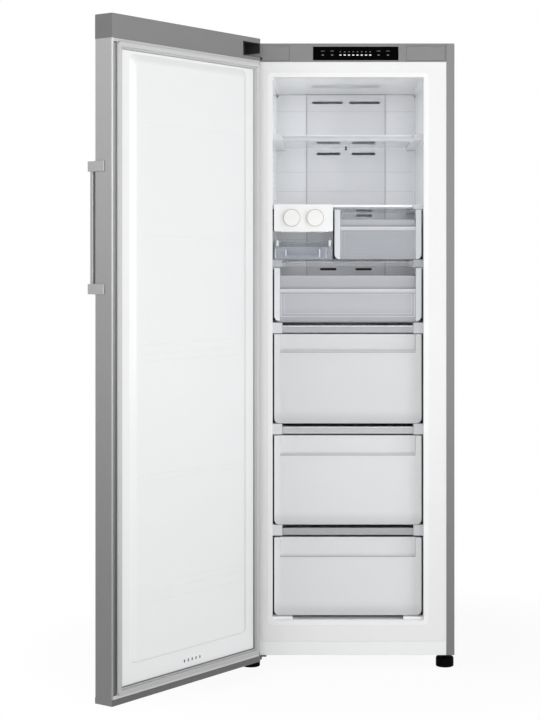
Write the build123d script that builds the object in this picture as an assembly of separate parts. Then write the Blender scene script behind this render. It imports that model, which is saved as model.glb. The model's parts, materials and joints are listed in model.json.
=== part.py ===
"""Upright freezer with one door, five drawers, six glass shelves and a twist ice maker.

Millimetres. X is to the right seen from the front, Y to the back, Z up. The origin is
on the floor under the middle of the cabinet. Depths are measured back from the front
plane of the cabinet. The door is modelled shut and then swung open about its hinge.
"""

import math
import os

from build123d import *

# ---- Cabinet -----------------------------------------------------------------
CAB_W = 595.0
CAB_H = 1745.0
CAB_D = 590.0
SHEET = 1.0
BASE_Z = 36.0
FACE_FLANGE = 22.8
REAR_FLANGE = 15.0
BAR_H = 52.0
BAR_D = 60.0
BAR_WALL = 2.5
HINGE_COVER_W = 111.0
DISPLAY_FROM_COVERS = (65.7, 22.7)
DISPLAY_INLET = 1.5
BOARD_INSET = 4.0
CHIP_SHARES = (0.06, 0.233, 0.4935, 0.797)
CHIP_W = 14.0
TOE_TOP = 74.0
FOAM_FLOOR = 62.0
PLATE = 2.0
SEAM = 0.3

# ---- Freezer space -----------------------------------------------------------
LINER = 2.0
SIDE_WALL = 86.5
REAR_WALL = 53.0
CEILING_WALL = 43.0
CAVITY_FLOOR = 134.0
CORNER_R = 8.0
MOUTH_R = 14.0
BAY_H = 250.0
BAY_D = 200.0
HUMP_WALL = 48.0

# ---- Heights of the stacked compartments, from the floor of the space up --------
LOW_BAY = 253.0
DEEP_BAY = 284.0
SHALLOW_BAY = 179.0
ICE_BAY = 153.0
UPPER_SHELF_SHARE = 0.551

# ---- Shelves -----------------------------------------------------------------
GLASS = 4.0
RAIL_W = 27.0
RAIL_FRONT = 26.0
GROOVE = 11.0
GROOVE_FIT = 0.25
TRIM_D = 9.0
TRIM_R = 2.0
LEDGE_W = 56.0
LEDGE_H = 7.5
RUNNER_FIT = 0.4

# ---- Air duct and evaporator ---------------------------------------------------
COIL_SPACE = 60.0
COVER_T = 3.0
DUCT_HALF_W = 120.3
DUCT_PROUD = 4.0
DUCT_WALL = 2.0
DUCT_RIM = 10.0
VENT_H = 8.0
SENSOR_R = 3.2
SENSOR_DROP = 5.0
FAN_R = 52.0
FAN_W = 16.0
FAN_RISE = 220.0
COIL_ROWS = 7
COIL_PITCH = 40.0
COIL_RISE = 100.0
COIL_FROM_WALL = 61.0
COIL_TUBE_R = 4.0
FIN_COUNT = 13
FIN_T = 1.0
HEATER_R = 5.0
DRAIN_R = 9.0
DRAIN_WALL = 2.0
DRAIN_FROM_WALL = 61.0
TROUGH_FROM_WALL = 26.0
RETURN_FROM_WALL = 51.0
RETURN_W = 44.0
RETURN_PITCH = 60.0

# ---- Drawers -----------------------------------------------------------------
SIDE_GAP = 4.0
FRONT_FACE = 24.0
FRONT_T = 3.0
GRIP_D = 11.0
GRIP_CHEEK = 17.0
BIN_WALL = 2.0
BIN_INSET = 4.0
BIN_BACK_GAP = 18.0
BIN_R = 12.0
FRONT_R = 14.0

# ---- Ice maker -----------------------------------------------------------------
ICE_W = 165.0
ICE_SPLIT = 4.5
ICE_FACE = 12.0
ICE_DEPTH = 320.0
KNOB_R = 24.0
KNOB_PROUD = 8.0
KNOB_SPAN = 65.7
TRAY_LEN = 255.0
TRAY_CELLS = 7
TRAY_HALF_W = 23.0
TRAY_HALF_FLOOR = 16.0
TRAY_ABOVE = 6.0
TRAY_BELOW = 17.5
TRAY_TRIM_GAP = 2.0
CELL_RIB = 1.2
BUCKET_DROP = 61.0
BUCKET_FRONT_DROP = 20.0
BUCKET_NOTCH_H = 24.0
BUCKET_BACK_GAP = 95.0
SHAFT_R = 6.0
RUN_FIT = 0.05

# ---- Door --------------------------------------------------------------------
DOOR_OPEN = 126.0
DOOR_T = 58.0
DOOR_GAP = 10.0
DOOR_BOTTOM = 31.0
DOOR_RISE = 5.6
DOOR_SIDE_GAP = 1.0
TOP_CAP_H = 61.0
BOTTOM_CAP_H = 15.6
CAP_WALL = 2.5
EDGE_RETURN = 4.8
SEAL_FROM_RETURN = 8.2
SEAL_FROM_CAPS = (9.5, 8.5)
GASKET_W = 16.0
SEAL_CLEAR = 0.6
MAGNET_INSET = 4.5
MAGNET_W = 7.0
PLATEAU = 8.0
PLATEAU_SIDE = 80.0
PLATEAU_FROM_SEAL = (54.0, 10.0)
PIN_FROM_SIDE = 16.3
PIN_FROM_INNER = 36.3
PIN_R = 5.0
SCREW_R = 2.5
SCREW_HEAD_R = 4.6
SCREW_HEAD_H = 2.4
TIGHT_FIT = 0.02
BUSH_WALL = 3.0
BUSH_FLANGE = 2.2
ARM_ANGLE = 30.0
ARM_HALF_W = 8.0
ARM_T = 4.0
NOTCH_W = 75.0
NOTCH_D = 52.0
NOTCH_LOW = 8.4
NOTCH_H = 39.0
STOP_FROM_PIN = 14.6

# ---- Handle ------------------------------------------------------------------
HANDLE_Z0 = 1052.0
HANDLE_LEN = 333.0
HANDLE_REACH = 37.3
HANDLE_BAR = 18.0
HANDLE_T = 11.0
HANDLE_INSET = 20.0
BRACKET_H = 26.0
BRACKET_WRAP = 33.0
BRACKET_T = 4.0

# ---- Feet and rollers ------------------------------------------------------------
FOOT_R = 25.0
FOOT_H = 28.0
FOOT_FROM_SIDE = 25.5
FOOT_DEPTH = 28.0
STEM_R = 5.0
FOOT_RAIL_HALF_W = 12.0
ROLLER_R = 14.0
ROLLER_W = 18.0
ROLLER_FROM_BACK = 40.0
AXLE_R = 3.0

# ---- Machine bay -----------------------------------------------------------------
TRAY_Z = 60.0
COMP_X = -150.0
COMP_R = 62.0
COMP_H = 138.0
COMP_PLATE_T = 3.0
FOOT_SPREAD_X = 76.0
FOOT_SPREAD_Y = 48.0
GROMMET_H = 12.0
PAN_H = 24.0
PAN_WALL = 2.0
BAY_FAN_R = 60.0
BAY_FAN_W = 18.0
BAY_FAN_X = -12.0
BAY_FAN_Z = 142.0
CONDENSER_LEFT = 60.0
CONDENSER_RIGHT = 232.0
CONDENSER_ROWS = 6
CONDENSER_PITCH = 26.0
CONDENSER_TUBE_R = 3.0
PIPE_R = 3.2
GRILLE_T = 2.5
GRILLE_SLOTS_FROM_END = 71.5
GRILLE_BAR = 12.0
GRILLE_COLUMNS = 3
LEAD_R = 3.6

# ---- Values worked out from the ones above -------------------------------------------
HALF = CAB_W / 2
FOOT_X = HALF - FOOT_FROM_SIDE
FRONT = -CAB_D / 2
SKIN_X = HALF - SHEET
FRAME_X = HALF - FACE_FLANGE - 0.2
BAR_Z = CAB_H - BAR_H
OPEN_X = HALF - SIDE_WALL
COIL_HALF_W = OPEN_X - COIL_FROM_WALL
DRAIN_X = -OPEN_X + DRAIN_FROM_WALL
TROUGH_HALF_W = OPEN_X - TROUGH_FROM_WALL
RETURN_OUT_X = OPEN_X - RETURN_FROM_WALL
CEILING = BAR_Z - CEILING_WALL
CAVITY_D = CAB_D - REAR_WALL - LINER
HUMP_D = CAB_D - BAY_D - HUMP_WALL + 1
HUMP_TOP = BAY_H + HUMP_WALL + LINER
SHELF_6 = CAVITY_FLOOR + LOW_BAY
SHELF_5 = SHELF_6 + DEEP_BAY
SHELF_4 = SHELF_5 + DEEP_BAY
SHELF_3 = SHELF_4 + SHALLOW_BAY
SHELF_2 = SHELF_3 + ICE_BAY
SHELF_1 = SHELF_2 + UPPER_SHELF_SHARE * (CEILING - SHELF_2)
COVER_DEPTH = CAVITY_D - COIL_SPACE
# For each shelf: level, how far its rails reach below and above the level.
SHELVES = [
    (SHELF_1, 10.0, 6.0),
    (SHELF_2, 3.5, 8.0),
    (SHELF_3, 13.0, 7.0),
    (SHELF_4, 21.0, 9.0),
    (SHELF_5, 21.0, 9.0),
    (SHELF_6, 21.0, 9.0),
]
# For each shelf: how far its front trim reaches below and above the level.
TRIMS = [(13.5, 3.0), (3.2, 8.0), (12.0, 3.0), (19.5, 0.5), (19.5, 0.5), (19.5, 0.5)]
ICE_LEFT = -OPEN_X + SIDE_GAP
ICE_RIGHT = ICE_LEFT + ICE_W
DIVIDER_X = ICE_RIGHT + ICE_SPLIT / 2
KNOB_Z = SHELF_2 - 29.0
KNOB_X = [
    (ICE_LEFT + ICE_RIGHT) / 2 - KNOB_SPAN / 2,
    (ICE_LEFT + ICE_RIGHT) / 2 + KNOB_SPAN / 2,
]
DOOR_X = HALF - DOOR_SIDE_GAP
DOOR_TOP = CAB_H + DOOR_RISE
DOOR_INNER = -DOOR_GAP
DOOR_OUTER = DOOR_INNER - DOOR_T
SKIN_Z0 = DOOR_BOTTOM + BOTTOM_CAP_H
SKIN_Z1 = DOOR_TOP - TOP_CAP_H
PIN_X = -HALF + PIN_FROM_SIDE
PIN_DEPTH = DOOR_INNER - PIN_FROM_INNER
NOTCH_Z0 = SKIN_Z1 + NOTCH_LOW
NOTCH_Z1 = NOTCH_Z0 + NOTCH_H
BUSH_R = PIN_R + RUN_FIT + BUSH_WALL
UPPER_ARM_Z = NOTCH_Z0 + BUSH_FLANGE + SEAM
LOWER_ARM_Z = DOOR_BOTTOM - BUSH_FLANGE - RUNNER_FIT - ARM_T
ARM_CROSS_X = PIN_X - PIN_DEPTH * math.tan(math.radians(ARM_ANGLE))
SEAL_OUT_X = DOOR_X - EDGE_RETURN - SEAL_FROM_RETURN
SEAL_IN_X = SEAL_OUT_X - GASKET_W
SEAL_OUT_Z = (SKIN_Z0 + SEAL_FROM_CAPS[0], SKIN_Z1 - SEAL_FROM_CAPS[1])
LINER_EDGE_X = DOOR_X - EDGE_RETURN - 0.4
LINER_BACK = DOOR_INNER - 2.5
LINER_FACE = DOOR_INNER - 0.5
PLATEAU_Z = (
    SEAL_OUT_Z[0] + GASKET_W + PLATEAU_FROM_SEAL[0],
    SEAL_OUT_Z[1] - GASKET_W - PLATEAU_FROM_SEAL[1],
)
HANDLE_X = (DOOR_X - HANDLE_INSET - HANDLE_BAR, DOOR_X - HANDLE_INSET)
COVER_Z = (BAR_Z + 4, BAR_Z + 45)
COVER_INNER_X = FRAME_X - HINGE_COVER_W
DISPLAY_X = (
    -COVER_INNER_X + DISPLAY_FROM_COVERS[0],
    COVER_INNER_X - DISPLAY_FROM_COVERS[1],
)
DISPLAY_Z = (BAR_Z + 5, BAR_Z + 43)
UPPER_PLATE_X = (-FRAME_X + 4, -COVER_INNER_X - 4)
HINGE_HOLES_X = [UPPER_PLATE_X[0] + 42, UPPER_PLATE_X[0] + 66, UPPER_PLATE_X[0] + 90]
HINGE_HOLES_DEPTH = 32.0
LOWER_FLANGE_X = (-SKIN_X + 2, -FOOT_X + 44)
LOWER_SCREWS = [(-FOOT_X - 12, 52), (-FOOT_X + 32, 30)]
RAIL_X = (FOOT_X - FOOT_RAIL_HALF_W, HALF - SHEET)
GLASS_FRONT = RAIL_FRONT + TRIM_D - 4.0
TRAY_FRONT = RAIL_FRONT + TRIM_D + TRAY_TRIM_GAP
ICE_WALL_X = (ICE_LEFT + 10, ICE_RIGHT - 10)
ICE_LEDGE_Z = KNOB_Z + 8.0
BUCKET_TOP = KNOB_Z - BUCKET_DROP
BUCKET_BACK = COVER_DEPTH - BUCKET_BACK_GAP
COIL_Z = HUMP_TOP + COIL_RISE
COIL_DEPTH = COVER_DEPTH + COVER_T + 28
FAN_Z = COIL_Z + (COIL_ROWS - 1) * COIL_PITCH + FAN_RISE
FAN_DEPTH = COVER_DEPTH + COVER_T + 6
DUCT_Z = (SHELF_4 - 50, CEILING - 1)
DRAIN_DEPTH = COVER_DEPTH + COVER_T + 27
COMP_DEPTH = CAB_D - BAY_D / 2 + 2
COMP_Z = TRAY_Z + GROMMET_H
COMP_TOP = COMP_Z + COMP_PLATE_T + COMP_H
DRIER_X = CONDENSER_LEFT + 26
DRIER_DEPTH = COMP_DEPTH - 42 - 9.2
GRILLE_X = HALF - REAR_FLANGE - 1
GRILLE_SLOTS_X = GRILLE_X - GRILLE_SLOTS_FROM_END
GLAND_X = -GRILLE_X + 22
GLAND_Z = TRAY_Z + 24
ROLLER_DEPTH = CAB_D - ROLLER_FROM_BACK


def deep(depth):
    """The Y of a plane this far behind the cabinet's front plane."""
    return FRONT + depth


def block(x, depth, z):
    """A box between the two values of each pair; depth is behind the front plane."""
    size = [b - a for a, b in (x, depth, z)]
    centre = [(a + b) / 2 for a, b in (x, depth, z)]
    return Pos(centre[0], deep(centre[1]), centre[2]) * Box(*size)


def mirrored_block(x, depth, z):
    """The same box on the right and on the left of the middle plane."""
    return [block(x, depth, z), block((-x[1], -x[0]), depth, z)]


def rod_x(x, depth, z, radius):
    """A cylinder along X."""
    turned = Rot(0, 90, 0) * Cylinder(radius, x[1] - x[0])
    return Pos((x[0] + x[1]) / 2, deep(depth), z) * turned


def rod_y(x, depth, z, radius):
    """A cylinder along Y between two depths."""
    turned = Rot(90, 0, 0) * Cylinder(radius, depth[1] - depth[0])
    return Pos(x, deep((depth[0] + depth[1]) / 2), z) * turned


def rod_z(x, depth, z, radius):
    """A cylinder along Z between two heights."""
    return Pos(x, deep(depth), (z[0] + z[1]) / 2) * Cylinder(radius, z[1] - z[0])


def rounded(solid, axis, radius):
    """The solid with its edges along this axis rounded."""
    return fillet(solid.edges().filter_by(axis), radius)


def prism(origin, points, length):
    """A solid with this outline, seen from the front, that runs back from the origin."""
    with BuildPart() as made:
        with BuildSketch(Plane(origin=origin, x_dir=(1, 0, 0), z_dir=(0, -1, 0))):
            with BuildLine():
                Polyline(*points, close=True)
            make_face()
        extrude(amount=-length)
    return made.part


def joined(pieces):
    """The pieces as one node, fused where they meet."""
    whole = pieces[0]
    for piece in pieces[1:]:
        whole = whole + piece
    return whole


def cut(solid, tools):
    """The solid with each tool taken out of it."""
    for tool in tools:
        solid = solid - tool
    return solid


def swung(piece):
    """A door piece turned from shut to open about the hinge pins."""
    axis = Axis((PIN_X, deep(PIN_DEPTH), 0), (0, 0, 1))
    return piece.rotate(axis, -DOOR_OPEN)


def save(name, shape):
    """Writes one node."""
    shape.label = name
    export_step(shape, f"parts/{name}.step")


# ---- Cabinet shell -----------------------------------------------------------


def side_panel(side):
    """A steel side with a flange folded in at the front and one at the back."""
    z = (BASE_Z, CAB_H)
    plate = block((SKIN_X, HALF), (0, CAB_D), z)
    front = block((HALF - FACE_FLANGE, HALF), (0, SHEET), z)
    rear = block((HALF - REAR_FLANGE, HALF), (CAB_D - SHEET, CAB_D), z)
    panel = plate + front + rear
    return panel if side > 0 else mirror(panel, Plane.YZ)


def top_panel():
    """The steel lid of the cabinet behind the control bar."""
    return block((-SKIN_X, SKIN_X), (BAR_D, CAB_D - SHEET), (CAB_H - SHEET, CAB_H))


def back_panel():
    """The steel back above the machine bay."""
    depth = (CAB_D - 2 * SHEET, CAB_D - SHEET)
    return block((-SKIN_X, SKIN_X), depth, (BAY_H, CAB_H - SHEET))


def liner_outside():
    """The liner's outside: its front frame, its box and the hump over the machine bay."""
    x, r = OPEN_X + LINER, CORNER_R + LINER
    low, high = CAVITY_FLOOR - LINER, CEILING + LINER
    box = rounded(block((-x, x), (0, CAVITY_D + LINER), (low, high)), Axis.Y, r)
    hump = block((-x - 1, x + 1), (HUMP_D + LINER, CAB_D), (0, HUMP_TOP - LINER))
    frame = block((-FRAME_X, FRAME_X), (0, LINER), (TOE_TOP, BAR_Z))
    whole = box - hump + frame
    bend = [
        edge
        for edge in whole.edges()
        if abs(edge.center().Y - deep(LINER)) < 0.01
        and abs(edge.bounding_box().min.Y - edge.bounding_box().max.Y) < 0.01
        and abs(edge.center().X) <= x + 0.1
        and low - 0.1 <= edge.center().Z <= high + 0.1
    ]
    return fillet(bend, MOUTH_R - LINER)


def cavity():
    """The freezer space, with its rounded long edges and the hump taken out."""
    space = block((-OPEN_X, OPEN_X), (-1, CAVITY_D), (CAVITY_FLOOR, CEILING))
    space = rounded(space, Axis.Y, CORNER_R)
    step = block((-OPEN_X - 1, OPEN_X + 1), (HUMP_D, CAB_D), (0, HUMP_TOP))
    return space - step


def rails():
    """The moulded rails that hold the shelves, each with a groove for its glass."""
    made = []
    for level, below, above in SHELVES:
        depth = (RAIL_FRONT, COVER_DEPTH - 1)
        rail = block((OPEN_X - RAIL_W, OPEN_X + 0.5), depth, (level - below, level + above))
        groove_x = (OPEN_X - RAIL_W - 1, OPEN_X - RAIL_W + GROOVE)
        half = GLASS / 2 + GROOVE_FIT
        groove = block(groove_x, (0, COVER_DEPTH), (level - half, level + half))
        made.append(rail - groove)
    depth = (8, HUMP_D - 4)
    ledge_z = (CAVITY_FLOOR - 0.5, CAVITY_FLOOR + LEDGE_H)
    ledge = block((OPEN_X - LEDGE_W, OPEN_X + 0.5), depth, ledge_z)
    around = block((-OPEN_X - 0.5, OPEN_X + 0.5), depth, (CAVITY_FLOOR - 0.5, CEILING))
    made.append(ledge & rounded(around, Axis.Y, CORNER_R + 0.5))
    return made


def ice_ledge(x, z):
    """A ledge that carries a hanging flange of the ice maker."""
    return block(x, (RAIL_FRONT + 4, ICE_DEPTH + 30), (z - 4, z))


def inner_liner():
    """The one-piece plastic liner with its front frame, mouth bead and rails."""
    shell = liner_outside() - cavity()
    mouth = [
        edge
        for edge in shell.edges()
        if abs(edge.center().Y - FRONT) < 0.01
        and abs(edge.bounding_box().min.Y - edge.bounding_box().max.Y) < 0.01
        and abs(edge.center().X) <= OPEN_X + 0.1
        and CAVITY_FLOOR - 0.1 <= edge.center().Z <= CEILING + 0.1
    ]
    shell = fillet(mouth, MOUTH_R)
    for rail in rails():
        shell = shell + rail + mirror(rail, Plane.YZ)
    ledge = ice_ledge((-OPEN_X - 0.5, ICE_LEFT + 9), ICE_LEDGE_Z)
    hole = rod_z(DRAIN_X, DRAIN_DEPTH, (BAY_H, HUMP_TOP + 5), DRAIN_R + SEAM)
    return shell + ledge - hole


def cabinet_foam():
    """The insulation between the steel skin and the liner."""
    x = (-SKIN_X, SKIN_X)
    whole = block(x, (LINER, CAB_D - 2 * SHEET), (FOAM_FLOOR, CAB_H - SHEET))
    bar = block((-HALF, HALF), (0, BAR_D), (BAR_Z, CAB_H + 1))
    bay = block((-HALF, HALF), (CAB_D - BAY_D - SHEET, CAB_D + 1), (0, BAY_H))
    toe = block((-HALF, HALF), (0, LINER + 4), (0, TOE_TOP))
    drain = rod_z(DRAIN_X, DRAIN_DEPTH, (BAY_H - 1, HUMP_TOP), DRAIN_R + SEAM)
    return cut(whole, [bar, bay, toe, drain, liner_outside()])


def machine_bay_wall():
    """The folded steel sheet that lines the front and the roof of the machine bay."""
    front_depth = CAB_D - BAY_D
    wall = block((-SKIN_X, SKIN_X), (front_depth - SHEET, front_depth), (FOAM_FLOOR, BAY_H))
    roof_z = (BAY_H - SHEET, BAY_H)
    roof = block((-SKIN_X, SKIN_X), (front_depth - SHEET, CAB_D - 2 * SHEET), roof_z)
    drain = rod_z(DRAIN_X, DRAIN_DEPTH, (BAY_H - 5, BAY_H + 5), DRAIN_R + SEAM)
    return wall + roof - drain


def toe_panel():
    """The strip under the front frame."""
    plate = block((-FRAME_X, FRAME_X), (0, PLATE), (BASE_Z, TOE_TOP - SEAM))
    lip = block((-FRAME_X, FRAME_X), (0, LINER + 4), (TOE_TOP - SEAM - 2, TOE_TOP - SEAM))
    return plate + lip


def base_frame():
    """The steel frame: a pan under the foam, the bay's floor, side rails and a front rail."""
    pan_x = (-SKIN_X, SKIN_X)
    pan = block(pan_x, (6, CAB_D - BAY_D - SHEET), (FOAM_FLOOR - PLATE, FOAM_FLOOR))
    front = block(pan_x, (6, 6 + PLATE), (BASE_Z, FOAM_FLOOR))
    shelf = block(pan_x, (6, 70), (BASE_Z, BASE_Z + PLATE))
    floor_x = RAIL_X[0] - 14
    rear = CAB_D - 8
    floor = block((-floor_x, floor_x), (CAB_D - BAY_D, rear), (TRAY_Z - PLATE, TRAY_Z))
    step_depth = (CAB_D - BAY_D - SHEET - PLATE, CAB_D - BAY_D - SHEET)
    step = block((-floor_x, floor_x), step_depth, (TRAY_Z - PLATE, FOAM_FLOOR))
    join = block((-floor_x, floor_x), (step_depth[0], CAB_D - BAY_D + 1), (TRAY_Z - PLATE, TRAY_Z))
    parts = [pan, front, shelf, floor, step, join]
    for x in ((HALF - SHEET - PLATE, SKIN_X), (RAIL_X[0] - 16, RAIL_X[0] - 14)):
        parts += mirrored_block(x, (6, rear), (BASE_Z, FOAM_FLOOR - PLATE))
    parts += mirrored_block((RAIL_X[0] - 16, SKIN_X), (6, rear), (TRAY_Z - PLATE, TRAY_Z))
    for side in (-1, 1):
        parts.append(rod_z(side * FOOT_X, FOOT_DEPTH, (BASE_Z, FOAM_FLOOR - PLATE), 11))
    frame = joined(parts)
    holes = [
        rod_z(side * FOOT_X, FOOT_DEPTH, (BASE_Z - 1, FOAM_FLOOR + 1), STEM_R + RUN_FIT)
        for side in (-1, 1)
    ]
    return cut(frame, holes)


# ---- Control bar ---------------------------------------------------------------


def cover_window(side, gap=0.0):
    """The window in the bar's front for a hinge cover, narrowed by a gap."""
    x = (COVER_INNER_X + gap, FRAME_X - 2.5 - gap)
    window = block(x, (-1, BAR_WALL + 1), (COVER_Z[0] + gap, COVER_Z[1] - gap))
    return window if side > 0 else mirror(window, Plane.YZ)


def front_bar():
    """The grey control bar: a box open at the back, with windows for the hinge covers."""
    z = (BAR_Z, CAB_H)
    wide_x = SKIN_X - 0.2
    shell = block((-FRAME_X, FRAME_X), (0, BAR_D), z)
    shell = shell + block((-wide_x, wide_x), (SHEET + 0.2, BAR_D), z)
    inside_x = wide_x - BAR_WALL
    inside_z = (BAR_Z + BAR_WALL, CAB_H - BAR_WALL)
    inside = block((-inside_x, inside_x), (SHEET + 0.2 + BAR_WALL, BAR_D + 1), inside_z)
    face_x = FRAME_X - BAR_WALL
    inside = inside + block((-face_x, face_x), (BAR_WALL, BAR_D), inside_z)
    pocket = block(DISPLAY_X, (-1, DISPLAY_INLET), DISPLAY_Z)
    return cut(shell, [inside, pocket, cover_window(-1), cover_window(1)])


def display_panel():
    """The black touch panel let into the bar."""
    x = (DISPLAY_X[0] + 0.1, DISPLAY_X[1] - 0.1)
    return block(x, (-0.3, DISPLAY_INLET), (DISPLAY_Z[0] + 0.1, DISPLAY_Z[1] - 0.1))


def control_board():
    """The circuit board behind the touch panel, with its parts."""
    left, right = DISPLAY_X[0] + BOARD_INSET, DISPLAY_X[1] - BOARD_INSET
    parts = [block((left, right), (2.5, 4.1), (BAR_Z + 8, BAR_Z + 40))]
    for share in CHIP_SHARES:
        x = left + share * (right - left)
        parts.append(block((x, x + CHIP_W), (4.1, 8), (BAR_Z + 16, BAR_Z + 30)))
    return joined(parts)


def hinge_cover(side):
    """A snap-in cover over a hinge place; the left one lets the hinge arm through."""
    cover = cover_window(side, SEAM) & block((-HALF, HALF), (0.6, 2.8), (BAR_Z, CAB_H))
    if side < 0:
        x = (ARM_CROSS_X - ARM_HALF_W - 6, ARM_CROSS_X + ARM_HALF_W + 6)
        cover = cover - block(x, (-1, 6), (UPPER_ARM_Z - 1.5, UPPER_ARM_Z + ARM_T + 1.5))
    return cover


# ---- Hinges --------------------------------------------------------------------


def hinge_arm(z0, end_depth):
    """A flat arm that leaves the pin at an angle, so that it clears the open door."""
    turn = math.radians(ARM_ANGLE)
    length = (end_depth - PIN_DEPTH) / math.cos(turn)
    flat = Pos(0, length / 2, ARM_T / 2) * Box(2 * ARM_HALF_W, length, ARM_T)
    placed = Pos(PIN_X, deep(PIN_DEPTH), z0) * Rot(0, 0, -ARM_ANGLE) * flat
    eye = rod_z(PIN_X, PIN_DEPTH, (z0, z0 + ARM_T), PIN_R + 6)
    return placed + eye


def hinge_support():
    """The steel block in the bar that the upper hinge is screwed down on."""
    solid = block(UPPER_PLATE_X, (6, 54), (BAR_Z + BAR_WALL, UPPER_ARM_Z))
    z = (BAR_Z + BAR_WALL + 0.8, UPPER_ARM_Z + 1)
    return cut(solid, [rod_z(x, HINGE_HOLES_DEPTH, z, SCREW_R) for x in HINGE_HOLES_X])


def upper_hinge():
    """The upper hinge plate with its arm and a pin that points down."""
    arm = hinge_arm(UPPER_ARM_Z, 12)
    plate = block(UPPER_PLATE_X, (8, 52), (UPPER_ARM_Z, UPPER_ARM_Z + ARM_T))
    pin = rod_z(PIN_X, PIN_DEPTH, (SKIN_Z1 + 1, UPPER_ARM_Z + 1), PIN_R)
    z = (UPPER_ARM_Z - 1, UPPER_ARM_Z + ARM_T + 1)
    holes = [rod_z(x, HINGE_HOLES_DEPTH, z, SCREW_R) for x in HINGE_HOLES_X]
    return cut(arm + plate + pin, holes)


def lower_hinge():
    """The lower hinge: an arm under the door, a step up and a flange under the base."""
    arm = hinge_arm(LOWER_ARM_Z, -1)
    web_x = (ARM_CROSS_X - 14, ARM_CROSS_X + 14)
    web = block(web_x, (-3, 1), (LOWER_ARM_Z, BASE_Z))
    flange = block(LOWER_FLANGE_X, (-3, 62), (BASE_Z - ARM_T, BASE_Z))
    pin = rod_z(PIN_X, PIN_DEPTH, (LOWER_ARM_Z + 1, SKIN_Z0 - 2), PIN_R)
    foot = rod_z(-FOOT_X, FOOT_DEPTH, (0, BASE_Z + 1), STEM_R + 1.5)
    z = (BASE_Z - ARM_T - 1, BASE_Z + 1)
    holes = [rod_z(x, depth, z, SCREW_R) for x, depth in LOWER_SCREWS]
    return cut(arm + web + flange + pin, [foot] + holes)


def screw_up(x, depth, z_head, length):
    """A screw with its head at the bottom."""
    head = rod_z(x, depth, (z_head - SCREW_HEAD_H, z_head), SCREW_HEAD_R)
    return head + rod_z(x, depth, (z_head - 1, z_head + length), SCREW_R - TIGHT_FIT)


def hinge_screws():
    """The screws of both hinges."""
    made = [screw_up(x, depth, BASE_Z - ARM_T, ARM_T - 0.2) for x, depth in LOWER_SCREWS]
    top = UPPER_ARM_Z + ARM_T
    shank_z = (BAR_Z + BAR_WALL + 1, top + 1)
    for x in HINGE_HOLES_X:
        head = rod_z(x, HINGE_HOLES_DEPTH, (top, top + SCREW_HEAD_H), SCREW_HEAD_R)
        made.append(head + rod_z(x, HINGE_HOLES_DEPTH, shank_z, SCREW_R - TIGHT_FIT))
    return made


# ---- Shelves -------------------------------------------------------------------


def shelf_glass(level):
    """A glass shelf, held in the grooves of the rails."""
    x = OPEN_X - RAIL_W + GROOVE - 1
    depth = (GLASS_FRONT, COVER_DEPTH - DUCT_PROUD - 2)
    return block((-x, x), depth, (level - GLASS / 2, level + GLASS / 2))


def shelf_trim(level, below, above):
    """The front trim of a shelf, clipped to the edge of its glass."""
    x = OPEN_X - RAIL_W - 0.4
    depth = (RAIL_FRONT, RAIL_FRONT + TRIM_D)
    bar = block((-x, x), depth, (level - below, level + above))
    bar = rounded(bar, Axis.X, TRIM_R)
    slot_z = (level - GLASS / 2, level + GLASS / 2)
    return bar - block((-x - 1, x + 1), (GLASS_FRONT, depth[1] + 1), slot_z)


def shelf_trims():
    """The front trims of all shelves, from the top down."""
    levels = [level for level, _, _ in SHELVES]
    return [shelf_trim(level, *reach) for level, reach in zip(levels, TRIMS)]


def centre_rail():
    """The hanger under the second shelf, between the ice maker and the small drawer."""
    x = (DIVIDER_X - 1.2, DIVIDER_X + 1.2)
    top = SHELF_2 - GLASS / 2
    web = block(x, (RAIL_FRONT + 14, COVER_DEPTH - 8), (SHELF_3 + GLASS / 2 + 0.2, top))
    head = block((x[0] - 9, x[1] + 9), (RAIL_FRONT + 14, COVER_DEPTH - 8), (top - 2, top))
    ledge = ice_ledge((ICE_RIGHT - 9, x[0] + 0.5), ICE_LEDGE_Z)
    return web + head + ledge


# ---- Drawers -------------------------------------------------------------------


class DrawerSize:
    """Sizes of one drawer: its width, the heights of its front and its bin, its depth."""

    def __init__(self, x, front_z, grip_z, bin_z, back, wing=0.0):
        self.x = x
        self.front_z = front_z
        self.grip_z = grip_z
        self.bin_z = bin_z
        self.back = back
        self.wing = wing


def drawer_front(size):
    """A drawer front: a dished panel under a set-back grip strip between two cheeks."""
    x0, x1 = size.x
    z0, z1 = size.front_z
    rear = FRONT_FACE + GRIP_D + FRONT_T
    outside = block((x0, x1), (FRONT_FACE, rear), (z0, z1 + size.wing))
    lower = [
        edge for edge in outside.edges().filter_by(Axis.Y) if edge.center().Z < z0 + 1
    ]
    outside = fillet(lower, FRONT_R)
    inside_x = (x0 + FRONT_T, x1 - FRONT_T)
    hollow = block(inside_x, (FRONT_FACE + FRONT_T, rear + 1), (z0 + FRONT_T, size.grip_z))
    hollow = rounded(hollow, Axis.Y, FRONT_R - FRONT_T)
    grip_x = (x0 + GRIP_CHEEK, x1 - GRIP_CHEEK)
    grip_z = (size.grip_z + FRONT_T, z1 + size.wing + 1)
    grip = block(grip_x, (FRONT_FACE - 1, rear - FRONT_T), grip_z)
    back_edge = [
        edge
        for edge in grip.edges().filter_by(Axis.X)
        if edge.center().Z < grip_z[0] + 1 and edge.center().Y > deep(FRONT_FACE)
    ]
    grip = fillet(back_edge, GRIP_D - 3)
    tools = [hollow, grip]
    if size.wing:
        above = block(grip_x, (FRONT_FACE - 1, rear + 1), (z1, z1 + size.wing + 1))
        tools.append(above)
    return cut(outside, tools)


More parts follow.
